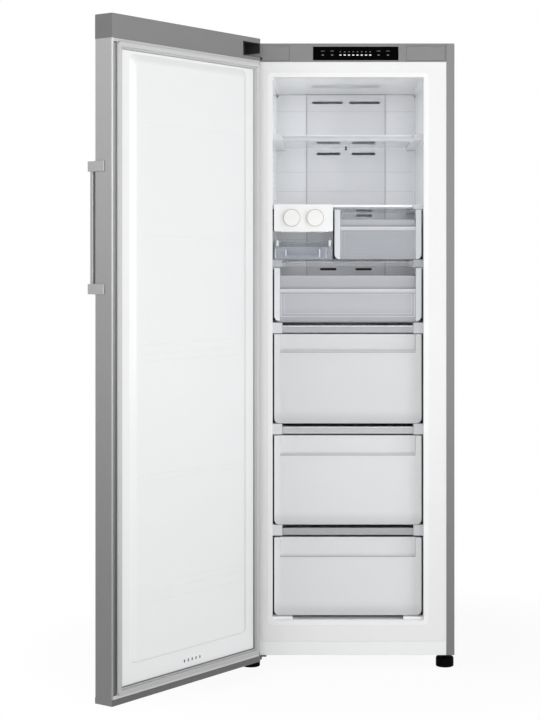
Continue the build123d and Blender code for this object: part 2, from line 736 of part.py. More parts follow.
def drawer_bin(size):
    """The box of a drawer, open at the top, with rounded corners."""
    x0, x1 = size.x
    x = (x0 + BIN_INSET, x1 - BIN_INSET)
    depth = (FRONT_FACE + GRIP_D + FRONT_T, size.back)
    outside = rounded(block(x, depth, size.bin_z), Axis.Z, BIN_R)
    wall = BIN_WALL
    inside = block(
        (x[0] + wall, x[1] - wall),
        (depth[0] + wall, depth[1] - wall),
        (size.bin_z[0] + wall, size.bin_z[1] + 1),
    )
    inside = rounded(inside, Axis.Z, BIN_R - wall)
    rim = [
        (x[0] - 1, x[0] + wall + 2),
        (x[1] - wall - 2, x[1] + 1),
    ]
    lips = [
        block(side, (depth[0] + BIN_R, depth[1] - BIN_R), (size.bin_z[1] - 3, size.bin_z[1]))
        for side in rim
    ]
    return (outside + lips) - inside


def drawer_sizes():
    """The five drawers, from the small one at the top to the low one at the bottom."""
    wide = (-OPEN_X + SIDE_GAP, OPEN_X - SIDE_GAP)
    back = COVER_DEPTH - BIN_BACK_GAP
    rail_top = {level: level + above for level, _, above in SHELVES}
    rail_low = {level: level - below for level, below, _ in SHELVES}
    floor_3 = rail_top[SHELF_3] + RUNNER_FIT
    floor_4 = rail_top[SHELF_4] + RUNNER_FIT
    floor_5 = rail_top[SHELF_5] + RUNNER_FIT
    floor_6 = rail_top[SHELF_6] + RUNNER_FIT
    floor_low = CAVITY_FLOOR + LEDGE_H + RUNNER_FIT
    small = (DIVIDER_X + 1.2 + SEAM + 0.4, OPEN_X - SIDE_GAP)
    return {
        1: DrawerSize(
            small,
            (floor_3 + 0.2, SHELF_2 - 33),
            SHELF_2 - 57,
            (floor_3, SHELF_2 - 36),
            back,
            SHELF_2 - TRIMS[1][0] - 1.5 - (SHELF_2 - 33),
        ),
        2: DrawerSize(
            wide,
            (floor_4 + 4, SHELF_3 - 38),
            SHELF_3 - 79,
            (floor_4, SHELF_3 - 41),
            back,
            rail_low[SHELF_3] - 3 - (SHELF_3 - 38),
        ),
        3: DrawerSize(
            wide,
            (floor_5 + 0.6, rail_low[SHELF_4] - 2),
            SHELF_4 - 74,
            (floor_5, rail_low[SHELF_4] - 5),
            back,
        ),
        4: DrawerSize(
            wide,
            (floor_6 + 0.6, rail_low[SHELF_5] - 3),
            SHELF_5 - 79,
            (floor_6, rail_low[SHELF_5] - 6),
            back,
        ),
        5: DrawerSize(
            wide,
            (floor_low + 0.6, rail_low[SHELF_6] - 5),
            SHELF_6 - 80,
            (floor_low, rail_low[SHELF_6] - 8),
            HUMP_D - 12,
        ),
    }


# ---- Ice maker -----------------------------------------------------------------


def ice_maker_housing():
    """The pull-out frame of the ice maker: front plate, two hung sides and a back."""
    z0, z1 = KNOB_Z - 38, KNOB_Z + 38
    face = rounded(block((ICE_LEFT, ICE_RIGHT), (ICE_FACE, ICE_FACE + 3), (z0, z1)), Axis.Y, 4)
    side_depth = (ICE_FACE + 3, ICE_DEPTH)
    side_z = (z0 + 4, ICE_LEDGE_Z + 3)
    flange_z = (ICE_LEDGE_Z + RUNNER_FIT, ICE_LEDGE_Z + 3)
    flange_depth = (RAIL_FRONT + TRIM_D + 2, ICE_DEPTH)
    parts = [
        face,
        block((ICE_WALL_X[0], ICE_WALL_X[0] + 2.5), side_depth, side_z),
        block((ICE_WALL_X[1] - 2.5, ICE_WALL_X[1]), side_depth, side_z),
        block((ICE_LEFT + 1, ICE_WALL_X[0] + 1), flange_depth, flange_z),
        block((ICE_WALL_X[1] - 1, ICE_RIGHT - 1), flange_depth, flange_z),
        block(ICE_WALL_X, (ICE_DEPTH - 3, ICE_DEPTH), side_z),
    ]
    holes = [rod_y(x, (0, ICE_DEPTH + 5), KNOB_Z, SHAFT_R + RUN_FIT) for x in KNOB_X]
    return cut(joined(parts), holes)


def ice_knob(x):
    """A round knob with a raised finger bar, and its short shaft through the front."""
    disc = rod_y(x, (ICE_FACE - KNOB_PROUD + 3, ICE_FACE - SEAM), KNOB_Z, KNOB_R)
    disc = fillet(disc.edges().sort_by(Axis.Y)[0], 2)
    span = (x - KNOB_R + 5, x + KNOB_R - 5)
    bar = block(span, (ICE_FACE - KNOB_PROUD, ICE_FACE - 4), (KNOB_Z - 4, KNOB_Z + 4))
    bar = rounded(bar, Axis.Y, 3.5)
    shaft = rod_y(x, (ICE_FACE - 2, TRAY_FRONT), KNOB_Z, SHAFT_R)
    return disc + bar + shaft


def ice_tray(x):
    """A twist tray of two rows of cells, with a stub at the back that turns in the frame."""
    end = TRAY_FRONT + TRAY_LEN
    section = [
        (-TRAY_HALF_W, TRAY_ABOVE),
        (TRAY_HALF_W, TRAY_ABOVE),
        (TRAY_HALF_FLOOR, -TRAY_BELOW),
        (-TRAY_HALF_FLOOR, -TRAY_BELOW),
    ]
    body = prism((x, deep(TRAY_FRONT), KNOB_Z), section, TRAY_LEN)
    cell_z = (KNOB_Z - TRAY_BELOW + 2, KNOB_Z + TRAY_ABOVE + 1)
    cells = []
    pitch = (TRAY_LEN - 8) / TRAY_CELLS
    for row in range(TRAY_CELLS):
        first = TRAY_FRONT + 5 + row * pitch
        for side in (-1, 1):
            inner, outer = side * CELL_RIB, side * (TRAY_HALF_FLOOR - 1)
            span = (x + min(inner, outer), x + max(inner, outer))
            cells.append(block(span, (first, first + pitch - 2), cell_z))
    stub = rod_y(x, (end - 1, ICE_DEPTH - 0.2), KNOB_Z, SHAFT_R)
    return cut(body, cells) + stub


def ice_springs():
    """The two springs that bring the trays back, wound round the knob shafts."""
    made = []
    for x in KNOB_X:
        start = ICE_FACE + 4.2
        path = Helix(pitch=2.0, height=7.0, radius=SHAFT_R + 2.2)
        wire = sweep(Plane(origin=path @ 0, z_dir=path % 0) * Circle(0.6), path=path)
        made.append(Pos(x, deep(start), KNOB_Z) * Rot(-90, 0, 0) * wire)
    return made


def ice_bucket():
    """The clear bucket under the trays, with a finger notch in its front."""
    z0 = SHELF_3 + SHELVES[2][2] + RUNNER_FIT
    front_top = BUCKET_TOP - BUCKET_FRONT_DROP
    face_x = (ICE_LEFT + 1, ICE_RIGHT - 2)
    x = (ICE_LEFT + 3, ICE_RIGHT - 4)
    depth = (ICE_FACE + 8, BUCKET_BACK)
    shell = rounded(block(x, depth, (z0, BUCKET_TOP)), Axis.Z, 6)
    inner_x = (x[0] + BIN_WALL, x[1] - BIN_WALL)
    inner_depth = (depth[0] + BIN_WALL, depth[1] - BIN_WALL)
    inner = block(inner_x, inner_depth, (z0 + BIN_WALL, BUCKET_TOP + 1))
    lowered_x = (face_x[0] + 12, face_x[1] - 12)
    lowered = block(lowered_x, (0, depth[0] + 12), (front_top, BUCKET_TOP + 1))
    face = rounded(block(face_x, (depth[0] - 3, depth[0]), (z0, front_top)), Axis.Y, 3)
    outline = [(-52, 1), (52, 1), (44, -BUCKET_NOTCH_H), (-44, -BUCKET_NOTCH_H)]
    notch = prism(((x[0] + x[1]) / 2, FRONT, front_top), outline, depth[0] + BIN_WALL + 1)
    open_bucket = cut(shell + face, [inner, lowered, notch])
    return open_bucket + bucket_grip(x, depth, z0, front_top)


def bucket_grip(x, depth, z0, front_top):
    """A set-back wall behind the finger notch, so that the bucket stays closed there."""
    centre = (x[0] + x[1]) / 2
    span = (centre - 54, centre + 54)
    wall = block(span, (depth[0] + 14, depth[0] + 14 + BIN_WALL), (z0 + 1, front_top))
    sides = [
        block((edge, edge + BIN_WALL), (depth[0] + 1, depth[0] + 15), (z0 + 1, front_top))
        for edge in (span[0], span[1] - BIN_WALL)
    ]
    return wall + sides


# ---- Air duct, evaporator and fan ------------------------------------------------


def vents():
    """Centre height, inner and outer half-distance of each pair of air slots."""
    return [
        (CEILING - 25, 10.5, 104.0),
        (SHELF_1 - 19, 18.0, 90.0),
        (SHELF_2 - 9.5, 31.0, 80.0),
        (SHELF_3 - 20, 29.0, 80.0),
        (SHELF_4 - 25.5, 70.0, 98.0),
    ]


def vent_cutters():
    """The slots as solids that pass through the duct cover."""
    made = []
    depth = (COVER_DEPTH - 12, COVER_DEPTH + 12)
    for z, inner, outer in vents():
        slot = block((inner, outer), depth, (z - VENT_H / 2, z + VENT_H / 2))
        slot = rounded(slot, Axis.Y, VENT_H / 2 - 0.1)
        made += [slot, mirror(slot, Plane.YZ)]
    return made


def evaporator_cover():
    """The back wall of the freezer space, in front of the evaporator."""
    x = OPEN_X - 1.5
    depth = (COVER_DEPTH, COVER_DEPTH + COVER_T)
    panel = block((-x, x), depth, (HUMP_TOP + 0.3, CEILING - 0.5))
    upper = [edge for edge in panel.edges().filter_by(Axis.Y) if edge.center().Z > CEILING - 1]
    panel = fillet(upper, CORNER_R)
    flow_x = DUCT_HALF_W - DUCT_RIM - 2
    flow = block((-flow_x, flow_x), (0, CAB_D), (DUCT_Z[0] + 14, DUCT_Z[1] - 14))
    returns = []
    for x0 in (RETURN_OUT_X - RETURN_W, RETURN_OUT_X - RETURN_W - RETURN_PITCH):
        returns += mirrored_block((x0, x0 + RETURN_W), (0, CAB_D), (HUMP_TOP + 14, HUMP_TOP + 24))
    posts = [
        rod_y(FAN_R * side, (depth[0], FAN_DEPTH + 20), FAN_Z - 20, 4) for side in (-1.25, 1.25)
    ]
    feet = mirrored_block((x - 8, x), (depth[0], CAVITY_D - 0.3), (HUMP_TOP + 0.3, CEILING - 20))
    return cut(joined([panel] + feet + posts), [flow] + returns)


def air_duct_cover():
    """The raised cover over the air channel, with its slots and the sensor hole."""
    outside = block((-DUCT_HALF_W, DUCT_HALF_W), (COVER_DEPTH - DUCT_PROUD, COVER_DEPTH), DUCT_Z)
    inside = block(
        (-DUCT_HALF_W + DUCT_RIM, DUCT_HALF_W - DUCT_RIM),
        (COVER_DEPTH - DUCT_PROUD + DUCT_WALL, COVER_DEPTH + 1),
        (DUCT_Z[0] + DUCT_RIM, DUCT_Z[1] - DUCT_RIM),
    )
    depth = (COVER_DEPTH - 10, COVER_DEPTH + 1)
    sensor = rod_y(0, depth, SHELF_1 - SENSOR_DROP, SENSOR_R + SEAM)
    return cut(outside, [inside, sensor] + vent_cutters())


def temperature_sensor():
    """The sensor bulb in its hole in the duct cover."""
    face = COVER_DEPTH - DUCT_PROUD
    z = SHELF_1 - SENSOR_DROP
    tip = rod_y(0, (face - 1, COVER_DEPTH - 0.5), z, SENSOR_R)
    return tip + rod_y(0, (face + DUCT_WALL + 0.2, COVER_DEPTH), z, SENSOR_R + 1.8)


def snake(rows, half, pitch, z0, depth, x_mid=0.0):
    """A zigzag path of level runs joined by half turns."""
    points = []
    for row in range(rows):
        ends = (-half, half) if row % 2 == 0 else (half, -half)
        points += [(x_mid + end, deep(depth), z0 + row * pitch) for end in ends]
    return FilletPolyline(*points, radius=pitch / 2 - 0.5)


def tube(path, radius):
    """A round tube along a path."""
    return sweep(Plane(origin=path @ 0, z_dir=path % 0) * Circle(radius), path=path)


def evaporator():
    """The cold coil: a zigzag tube through a stack of fins."""
    coil = tube(snake(COIL_ROWS, COIL_HALF_W, COIL_PITCH, COIL_Z, COIL_DEPTH), COIL_TUBE_R)
    span = COIL_HALF_W - 30
    height = (COIL_Z - 14, COIL_Z + (COIL_ROWS - 1) * COIL_PITCH + 14)
    depth = (COVER_DEPTH + COVER_T + 3, CAVITY_D - 2)
    for index in range(FIN_COUNT):
        x = -span + index * 2 * span / (FIN_COUNT - 1)
        coil = coil + block((x - FIN_T / 2, x + FIN_T / 2), depth, height)
    ears = mirrored_block((span + 4, span + 6), (depth[0], CAVITY_D), (height[0], height[1]))
    return joined([coil] + ears)


def defrost_heater():
    """The glass-tube heater under the coil, with its end caps on two legs."""
    z = COIL_Z - 32
    end = COIL_HALF_W - 8
    rod = rod_x((-end + 12, end - 12), COIL_DEPTH, z, HEATER_R)
    caps = [rod_x((-end, -end + 14), COIL_DEPTH, z, 8), rod_x((end - 14, end), COIL_DEPTH, z, 8)]
    legs = mirrored_block((end - 9, end - 4), (COIL_DEPTH, CAVITY_D), (z - 3, z + 3))
    return joined([rod] + caps + legs)


def drain_trough():
    """The sloping trough that catches the melt water, with a spout."""
    z = HUMP_TOP + 0.2
    front, rear = COVER_DEPTH + COVER_T + 2, CAVITY_D - 1
    outer = block((-TROUGH_HALF_W, TROUGH_HALF_W), (front, rear), (z, z + 26))
    inside_x = TROUGH_HALF_W - DRAIN_WALL
    inner = block((-inside_x, inside_x), (front + DRAIN_WALL, rear - DRAIN_WALL), (z + 3, z + 30))
    hole = rod_z(DRAIN_X, DRAIN_DEPTH, (z - 2, z + 5), DRAIN_R - DRAIN_WALL)
    return cut(outer, [inner, hole])


def drain_tube():
    """The tube that leads the melt water down into the pan."""
    z = (COMP_TOP + PAN_H - 12, HUMP_TOP)
    outer = rod_z(DRAIN_X, DRAIN_DEPTH, z, DRAIN_R)
    return outer - rod_z(DRAIN_X, DRAIN_DEPTH, (z[0] - 1, z[1] + 1), DRAIN_R - DRAIN_WALL)


def fan_wheel(radius, hub_r, width, blades):
    """A fan wheel about Z: a hub with pitched blades, centred on the origin."""
    wheel = Cylinder(hub_r, width)
    for index in range(blades):
        reach = radius - hub_r + 4
        blade = Pos(hub_r - 4 + reach / 2, 0, 0) * Rot(32, 0, 0) * Box(reach, width * 1.25, 1.6)
        wheel = wheel + Rot(0, 0, index * 360 / blades) * blade
    return wheel & Cylinder(radius, width * 1.4)


def evaporator_fan():
    """The wheel that blows the cold air up the channel."""
    wheel = fan_wheel(FAN_R, 16, FAN_W, 5) - Cylinder(AXLE_R + RUN_FIT, 40)
    return Pos(0, deep(FAN_DEPTH + 9), FAN_Z) * Rot(90, 0, 0) * wheel


def evaporator_fan_motor():
    """The fan motor with its shaft, on a bracket across the two posts of the cover."""
    motor = rod_y(0, (FAN_DEPTH + 20, FAN_DEPTH + 42), FAN_Z, 22)
    shaft = rod_y(0, (FAN_DEPTH + 1, FAN_DEPTH + 21), FAN_Z, AXLE_R)
    x = FAN_R * 1.25 + 5
    bracket = block((-x, x), (FAN_DEPTH + 20, FAN_DEPTH + 22), (FAN_Z - 25, FAN_Z - 15))
    return motor + shaft + bracket


# ---- Machine bay -----------------------------------------------------------------


def compressor():
    """The hermetic compressor: a domed can on a foot plate, with its terminal box."""
    can = rod_z(COMP_X, COMP_DEPTH, (COMP_Z + COMP_PLATE_T, COMP_TOP), COMP_R)
    can = fillet(can.edges().sort_by(Axis.Z)[-1], 30)
    width, depth = FOOT_SPREAD_X + 14, FOOT_SPREAD_Y + 14
    plate = block(
        (COMP_X - width, COMP_X + width),
        (COMP_DEPTH - depth, COMP_DEPTH + depth),
        (COMP_Z, COMP_Z + COMP_PLATE_T),
    )
    box_x = (COMP_X + COMP_R - 14, COMP_X + COMP_R + 16)
    box = block(box_x, (COMP_DEPTH - 22, COMP_DEPTH + 22), (COMP_Z + 40, COMP_Z + 90))
    return can + plate + rounded(box, Axis.Z, 5)


def compressor_grommets():
    """The four rubber mounts under the foot plate."""
    return [
        rod_z(COMP_X + sx * FOOT_SPREAD_X, COMP_DEPTH + sy * FOOT_SPREAD_Y, (TRAY_Z, COMP_Z), 9)
        for sx in (-1, 1)
        for sy in (-1, 1)
    ]


def evaporation_pan():
    """The pan on the compressor in which the melt water dries off."""
    z0 = COMP_TOP + 0.2
    solids = []
    for wall, z in ((0, (z0, z0 + PAN_H)), (PAN_WALL, (z0 + PAN_WALL, z0 + PAN_H + 1))):
        x = (COMP_X - 78 + wall, COMP_X + 78 - wall)
        depth = (COMP_DEPTH - 66 + wall, COMP_DEPTH + 66 - wall)
        solids.append(rounded(block(x, depth, z), Axis.Z, 10 - wall))
    return solids[0] - solids[1]


def condenser_fan():
    """The wheel that draws air over the condenser and the compressor."""
    wheel = fan_wheel(BAY_FAN_R, 18, BAY_FAN_W, 7) - Cylinder(AXLE_R + RUN_FIT, 40)
    return Pos(BAY_FAN_X, deep(COMP_DEPTH), BAY_FAN_Z) * Rot(0, 90, 0) * wheel


def condenser_fan_motor():
    """The fan's motor and shaft, on a stand on the bay's floor."""
    motor = rod_x((BAY_FAN_X - 44, BAY_FAN_X - 16), COMP_DEPTH, BAY_FAN_Z, 20)
    shaft = rod_x((BAY_FAN_X - 17, BAY_FAN_X + 10), COMP_DEPTH, BAY_FAN_Z, AXLE_R)
    depth = (COMP_DEPTH - 14, COMP_DEPTH + 14)
    stand = block((BAY_FAN_X - 40, BAY_FAN_X - 36), depth, (TRAY_Z, BAY_FAN_Z))
    foot = block((BAY_FAN_X - 40, BAY_FAN_X - 16), depth, (TRAY_Z, TRAY_Z + PLATE))
    return joined([motor, shaft, stand, foot])


def condenser():
    """Two zigzag layers of tube in two steel end plates."""
    half = (CONDENSER_RIGHT - CONDENSER_LEFT) / 2
    middle = (CONDENSER_LEFT + CONDENSER_RIGHT) / 2
    top = TRAY_Z + 22 + (CONDENSER_ROWS - 1) * CONDENSER_PITCH + 16
    parts = [
        block((x, x + 2), (COMP_DEPTH - 42, COMP_DEPTH + 42), (TRAY_Z, top))
        for x in (CONDENSER_LEFT + 26, CONDENSER_RIGHT - 28)
    ]
    for offset in (-22, 22):
        path = snake(
            CONDENSER_ROWS, half, CONDENSER_PITCH, TRAY_Z + 22, COMP_DEPTH + offset, middle
        )
        parts.append(tube(path, CONDENSER_TUBE_R))
    return joined(parts)


def filter_drier():
    """The copper drier, clipped to the front of the condenser's inner end plate."""
    body = rod_z(DRIER_X, DRIER_DEPTH, (TRAY_Z + 40, TRAY_Z + 130), 9)
    inlet = rod_z(DRIER_X, DRIER_DEPTH, (TRAY_Z + 26, TRAY_Z + 41), 3)
    outlet = rod_z(DRIER_X, DRIER_DEPTH, (TRAY_Z + 129, TRAY_Z + 146), 2)
    return body + inlet + outlet


def refrigerant_pipes():
    """The pressure and suction pipes from the compressor to the bay's front wall."""
    made = []
    wall = CAB_D - BAY_D + 0.2
    for x, z in ((COMP_X - 30, 150.0), (COMP_X + 22, 120.0)):
        start = (x, deep(COMP_DEPTH - COMP_R + 12), z)
        middle = (x, deep(wall + 16), z)
        end = (x + 40, deep(wall + 16), z)
        last = (x + 40, deep(wall), z)
        path = FilletPolyline(start, middle, end, last, radius=9)
        can = rod_z(COMP_X, COMP_DEPTH, (COMP_Z, COMP_TOP), COMP_R + 0.05)
        made.append(tube(path, PIPE_R) - can)
    return made


def rear_grille():
    """The slotted cover over the machine bay."""
    front = CAB_D - SHEET - GRILLE_T
    z = (TRAY_Z + 4, BAY_H - SHEET - 0.2)
    plate = block((-GRILLE_X, GRILLE_X), (front, CAB_D - SHEET), z)
    tab_depth = (front, CAB_D - SHEET - 0.2)
    tabs = mirrored_block((GRILLE_X - 2, SKIN_X - 0.2), tab_depth, (TRAY_Z + 4, BAY_H - 10))
    bars = (GRILLE_COLUMNS - 1) * GRILLE_BAR
    wide = (2 * GRILLE_SLOTS_X - bars) / GRILLE_COLUMNS
    slots = []
    for row in range(8):
        z = TRAY_Z + 24 + row * 19.0
        for column in range(GRILLE_COLUMNS):
            x0 = -GRILLE_SLOTS_X + column * (wide + GRILLE_BAR)
            slots.append(block((x0, x0 + wide), (CAB_D - 8, CAB_D + 1), (z, z + 7)))
    hole = rod_y(GLAND_X, (CAB_D - 8, CAB_D + 1), GLAND_Z, 6.2)
    return cut(joined([plate] + tabs), slots + [hole])


def cord_gland():
    """The gland in the rear cover through which the mains lead enters."""
    inside = rod_y(GLAND_X, (CAB_D - 12, CAB_D - SHEET - GRILLE_T - 0.1), GLAND_Z, 9)
    neck = rod_y(GLAND_X, (CAB_D - 4, CAB_D), GLAND_Z, 6)
    return inside + neck - rod_y(GLAND_X, (CAB_D - 20, CAB_D + 5), GLAND_Z, LEAD_R)


# ---- Feet and rollers ----------------------------------------------------------


def foot(side):
    """A levelling foot: a broad pad and a threaded stem, screwed into the base."""
    pad = rod_z(side * FOOT_X, FOOT_DEPTH, (0, FOOT_H), FOOT_R)
    pad = fillet(pad.edges().filter_by(GeomType.CIRCLE).group_by(Axis.Z)[-1], 6)
    pad = fillet(pad.edges().filter_by(GeomType.CIRCLE).group_by(Axis.Z)[0], 3)
    return pad + rod_z(side * FOOT_X, FOOT_DEPTH, (FOOT_H - 2, FOAM_FLOOR - PLATE - 1), STEM_R)


def roller(side):
    """A rear transport roller."""
    x = (side * FOOT_X - ROLLER_W / 2, side * FOOT_X + ROLLER_W / 2)
    wheel = rod_x(x, ROLLER_DEPTH, ROLLER_R, ROLLER_R)
    return wheel - rod_x((x[0] - 1, x[1] + 1), ROLLER_DEPTH, ROLLER_R, AXLE_R + RUN_FIT)


def roller_forks():
    """The two forks under the base rails, each with its roller's axle."""
    made = []
    depth = (ROLLER_DEPTH - 10, ROLLER_DEPTH + 10)
    top = TRAY_Z - PLATE
    half = ROLLER_W / 2 + 0.5
    wide = half + PLATE
    for side in (-1, 1):
        x0 = side * FOOT_X
        cheeks = [
            block((x0 - wide, x0 - half), depth, (ROLLER_R - 5, top)),
            block((x0 + half, x0 + wide), depth, (ROLLER_R - 5, top)),
        ]
        roof = block((x0 - wide, x0 + wide), depth, (top - PLATE, top))
        axle = rod_x((x0 - wide - 1, x0 + wide + 1), ROLLER_DEPTH, ROLLER_R, AXLE_R)
        made.append(joined(cheeks + [roof, axle]))
    return made


# ---- Door, modelled shut -----------------------------------------------------------


def door_skin():
    """The steel outside of the door, folded round both long edges."""
    z = (SKIN_Z0, SKIN_Z1)
    parts = [block((-DOOR_X, DOOR_X), (DOOR_OUTER, DOOR_OUTER + SHEET), z)]
    parts += mirrored_block((DOOR_X - SHEET, DOOR_X), (DOOR_OUTER, DOOR_INNER), z)
    parts += mirrored_block((DOOR_X - EDGE_RETURN, DOOR_X), (DOOR_INNER - SHEET, DOOR_INNER), z)
    return joined(parts)


def door_top_cap():
    """The plastic top cap, with the notch that takes the upper hinge."""
    cap = block((-DOOR_X, DOOR_X), (DOOR_OUTER, DOOR_INNER), (SKIN_Z1, DOOR_TOP))
    hollow = block(
        (-DOOR_X + NOTCH_W + CAP_WALL, DOOR_X - CAP_WALL),
        (DOOR_OUTER + CAP_WALL, DOOR_INNER - CAP_WALL),
        (SKIN_Z1 - 1, DOOR_TOP - CAP_WALL),
    )
    notch_depth = (DOOR_INNER - NOTCH_D, DOOR_INNER + 1)
    notch = block((-DOOR_X - 1, -DOOR_X + NOTCH_W), notch_depth, (NOTCH_Z0, NOTCH_Z1))
    bore = rod_z(PIN_X, PIN_DEPTH, (SKIN_Z1 - 1, NOTCH_Z0 + 1), BUSH_R + TIGHT_FIT)
    return cut(cap, [hollow, notch, bore])


def door_bottom_cap():
    """The bottom cap, solid round the hinge bush, with the lug that stops the swing."""
    cap = block((-DOOR_X, DOOR_X), (DOOR_OUTER, DOOR_INNER), (DOOR_BOTTOM, SKIN_Z0))
    hollow = block(
        (-DOOR_X + 70, DOOR_X - CAP_WALL),
        (DOOR_OUTER + CAP_WALL, DOOR_INNER - CAP_WALL),
        (DOOR_BOTTOM + CAP_WALL, SKIN_Z0 + 1),
    )
    bore = rod_z(PIN_X, PIN_DEPTH, (DOOR_BOTTOM - 1, SKIN_Z0 + 1), BUSH_R + TIGHT_FIT)
    lug_depth = (DOOR_OUTER + 1, PIN_DEPTH - STOP_FROM_PIN)
    lug = block((PIN_X - 8, PIN_X + 40), lug_depth, (DOOR_BOTTOM - ARM_T, DOOR_BOTTOM))
    return cut(cap, [hollow, bore]) + lug


def hinge_bushes():
    """The two plastic bushes in the caps that turn on the hinge pins."""
    spans = [
        ((SKIN_Z1, NOTCH_Z0 + 1), (NOTCH_Z0, NOTCH_Z0 + BUSH_FLANGE)),
        ((DOOR_BOTTOM - 1, SKIN_Z0 - 1), (DOOR_BOTTOM - BUSH_FLANGE, DOOR_BOTTOM)),
    ]
    bore = rod_z(PIN_X, PIN_DEPTH, (0, CAB_H + 10), PIN_R + RUN_FIT)
    made = []
    for body_z, flange_z in spans:
        body = rod_z(PIN_X, PIN_DEPTH, body_z, BUSH_R)
        flange = rod_z(PIN_X, PIN_DEPTH, flange_z, BUSH_R + 3)
        made.append(body + flange - bore)
    return made


def plateau(step):
    """The raised field of the door's inside, or its foam core if step is the wall."""
    x = DOOR_X - PLATEAU_SIDE - step
    z = (PLATEAU_Z[0] + step, PLATEAU_Z[1] - step)
    solid = block((-x, x), (LINER_BACK, LINER_FACE + PLATEAU - step), z)
    solid = rounded(solid, Axis.Y, 16 - step)
    face = solid.faces().sort_by(Axis.Y)[-1]
    return fillet(face.edges(), 4)


def door_liner():
    """The white plastic inside of the door, with its raised field."""
    z = (SKIN_Z0 + SEAM, SKIN_Z1 - SEAM)
    plate = block((-LINER_EDGE_X, LINER_EDGE_X), (LINER_BACK, LINER_FACE), z)
    return plate + plateau(0) - plateau(1.6)


def door_foam():
    """The insulation in the door."""
    x = DOOR_X - SHEET
    core = block((-x, x), (DOOR_OUTER + SHEET, LINER_BACK), (SKIN_Z0, SKIN_Z1))
    return core + plateau(1.6)


def ring(inner_x, outer_x, depth, z, width):
    """A rectangular ring in the plane of the door, with the given band width."""
    outer = block((-outer_x, outer_x), depth, z)
    outer = rounded(outer, Axis.Y, 10)
    hole = block((-inner_x, inner_x), (depth[0] - 1, depth[1] + 1), (z[0] + width, z[1] - width))
    return outer - rounded(hole, Axis.Y, 4)


def door_gasket():
    """The magnetic seal: a soft frame with a channel for its magnet strip."""
    frame = ring(SEAL_IN_X, SEAL_OUT_X, (LINER_FACE, -SEAL_CLEAR), SEAL_OUT_Z, GASKET_W)
    return frame - magnet_ring(0.1)


def magnet_ring(gap=0.0):
    """The space of the magnet strip in the seal."""
    z = (SEAL_OUT_Z[0] + MAGNET_INSET - gap, SEAL_OUT_Z[1] - MAGNET_INSET + gap)
    depth = (-SEAL_CLEAR - 4.6 - gap, -SEAL_CLEAR - 1.4 + gap)
    outer_x = SEAL_OUT_X - MAGNET_INSET
    return ring(outer_x - MAGNET_W - gap, outer_x + gap, depth, z, MAGNET_W + 2 * gap)


def handle_bar():
    """The upright bar of the handle."""
    depth = (DOOR_OUTER - HANDLE_REACH, DOOR_OUTER - HANDLE_REACH + HANDLE_T)
    bar = block(HANDLE_X, depth, (HANDLE_Z0, HANDLE_Z0 + HANDLE_LEN))
    return rounded(bar, Axis.Z, 3)


def handle_mounts():
    """The two brackets that wrap round the door's free edge and carry the bar."""
    post_depth = (DOOR_OUTER - HANDLE_REACH + HANDLE_T, DOOR_OUTER)
    wrap_depth = (DOOR_OUTER - BRACKET_T, DOOR_OUTER + BRACKET_WRAP)
    made = []
    for z0 in (HANDLE_Z0, HANDLE_Z0 + HANDLE_LEN - BRACKET_H):
        z = (z0, z0 + BRACKET_H)
        post = block((HANDLE_X[0] + 1, DOOR_X - 0.5), post_depth, z)
        base = block((HANDLE_X[0] - 4, DOOR_X), (DOOR_OUTER - BRACKET_T, DOOR_OUTER), z)
        wrap = block((DOOR_X, DOOR_X + BRACKET_T), wrap_depth, z)
        made.append(post + base + wrap)
    return made


# ---- Nodes -------------------------------------------------------------------------


def group(pieces):
    """Several solids as one node."""
    return Compound(children=[solid for piece in pieces for solid in piece.solids()])


def cabinet_nodes():
    """The shell of the cabinet, its base, its control bar and its hinges."""
    return {
        "side_panels": group([side_panel(-1), side_panel(1)]),
        "top_panel": top_panel(),
        "back_panel": back_panel(),
        "cabinet_foam": cabinet_foam(),
        "inner_liner": inner_liner(),
        "machine_bay_wall": machine_bay_wall(),
        "toe_panel": toe_panel(),
        "base_frame": group([base_frame()] + roller_forks()),
        "control_bar": front_bar(),
        "display_panel": display_panel(),
        "control_board": control_board(),
        "hinge_covers": group([hinge_cover(-1), hinge_cover(1)]),
        "hinge_brackets": group([upper_hinge(), hinge_support(), lower_hinge()]),
        "hinge_screws": group(hinge_screws()),
        "shelf_glasses": group([shelf_glass(level) for level, _, _ in SHELVES]),
        "shelf_trims": group(shelf_trims() + [centre_rail()]),
        "foot_left": foot(-1),
        "foot_right": foot(1),
        "roller_left": roller(-1),
        "roller_right": roller(1),
    }


def cooling_nodes():
    """The air duct, the cold coil and what is in the machine bay."""
    return {
        "evaporator_cover": evaporator_cover(),
        "air_duct_cover": air_duct_cover(),
        "temperature_sensor": temperature_sensor(),
        "evaporator": evaporator(),
        "defrost_heater": defrost_heater(),
        "melt_water_drain": group([drain_trough(), drain_tube()]),
        "evaporator_fan": evaporator_fan(),
        "evaporator_fan_motor": evaporator_fan_motor(),
        "compressor": compressor(),
        "compressor_grommets": group(compressor_grommets()),
        "evaporation_pan": evaporation_pan(),
        "condenser": condenser(),
        "condenser_fan": condenser_fan(),
        "condenser_fan_motor": condenser_fan_motor(),
        "refrigerant_pipes": group(refrigerant_pipes() + [filter_drier()]),
        "rear_grille": rear_grille(),
        "cord_gland": cord_gland(),
    }


def storage_nodes():
    """The drawers, the ice maker and the ice bucket."""
    nodes = {
        "ice_maker_housing": ice_maker_housing(),
        "ice_tray_left": group([ice_tray(KNOB_X[0]), ice_knob(KNOB_X[0])]),
        "ice_tray_right": group([ice_tray(KNOB_X[1]), ice_knob(KNOB_X[1])]),
        "ice_springs": group(ice_springs()),
        "ice_bucket": ice_bucket(),
    }
    for number, size in drawer_sizes().items():
        nodes[f"drawer_{number}_front"] = drawer_front(size)
        nodes[f"drawer_{number}_bin"] = drawer_bin(size)
    return nodes


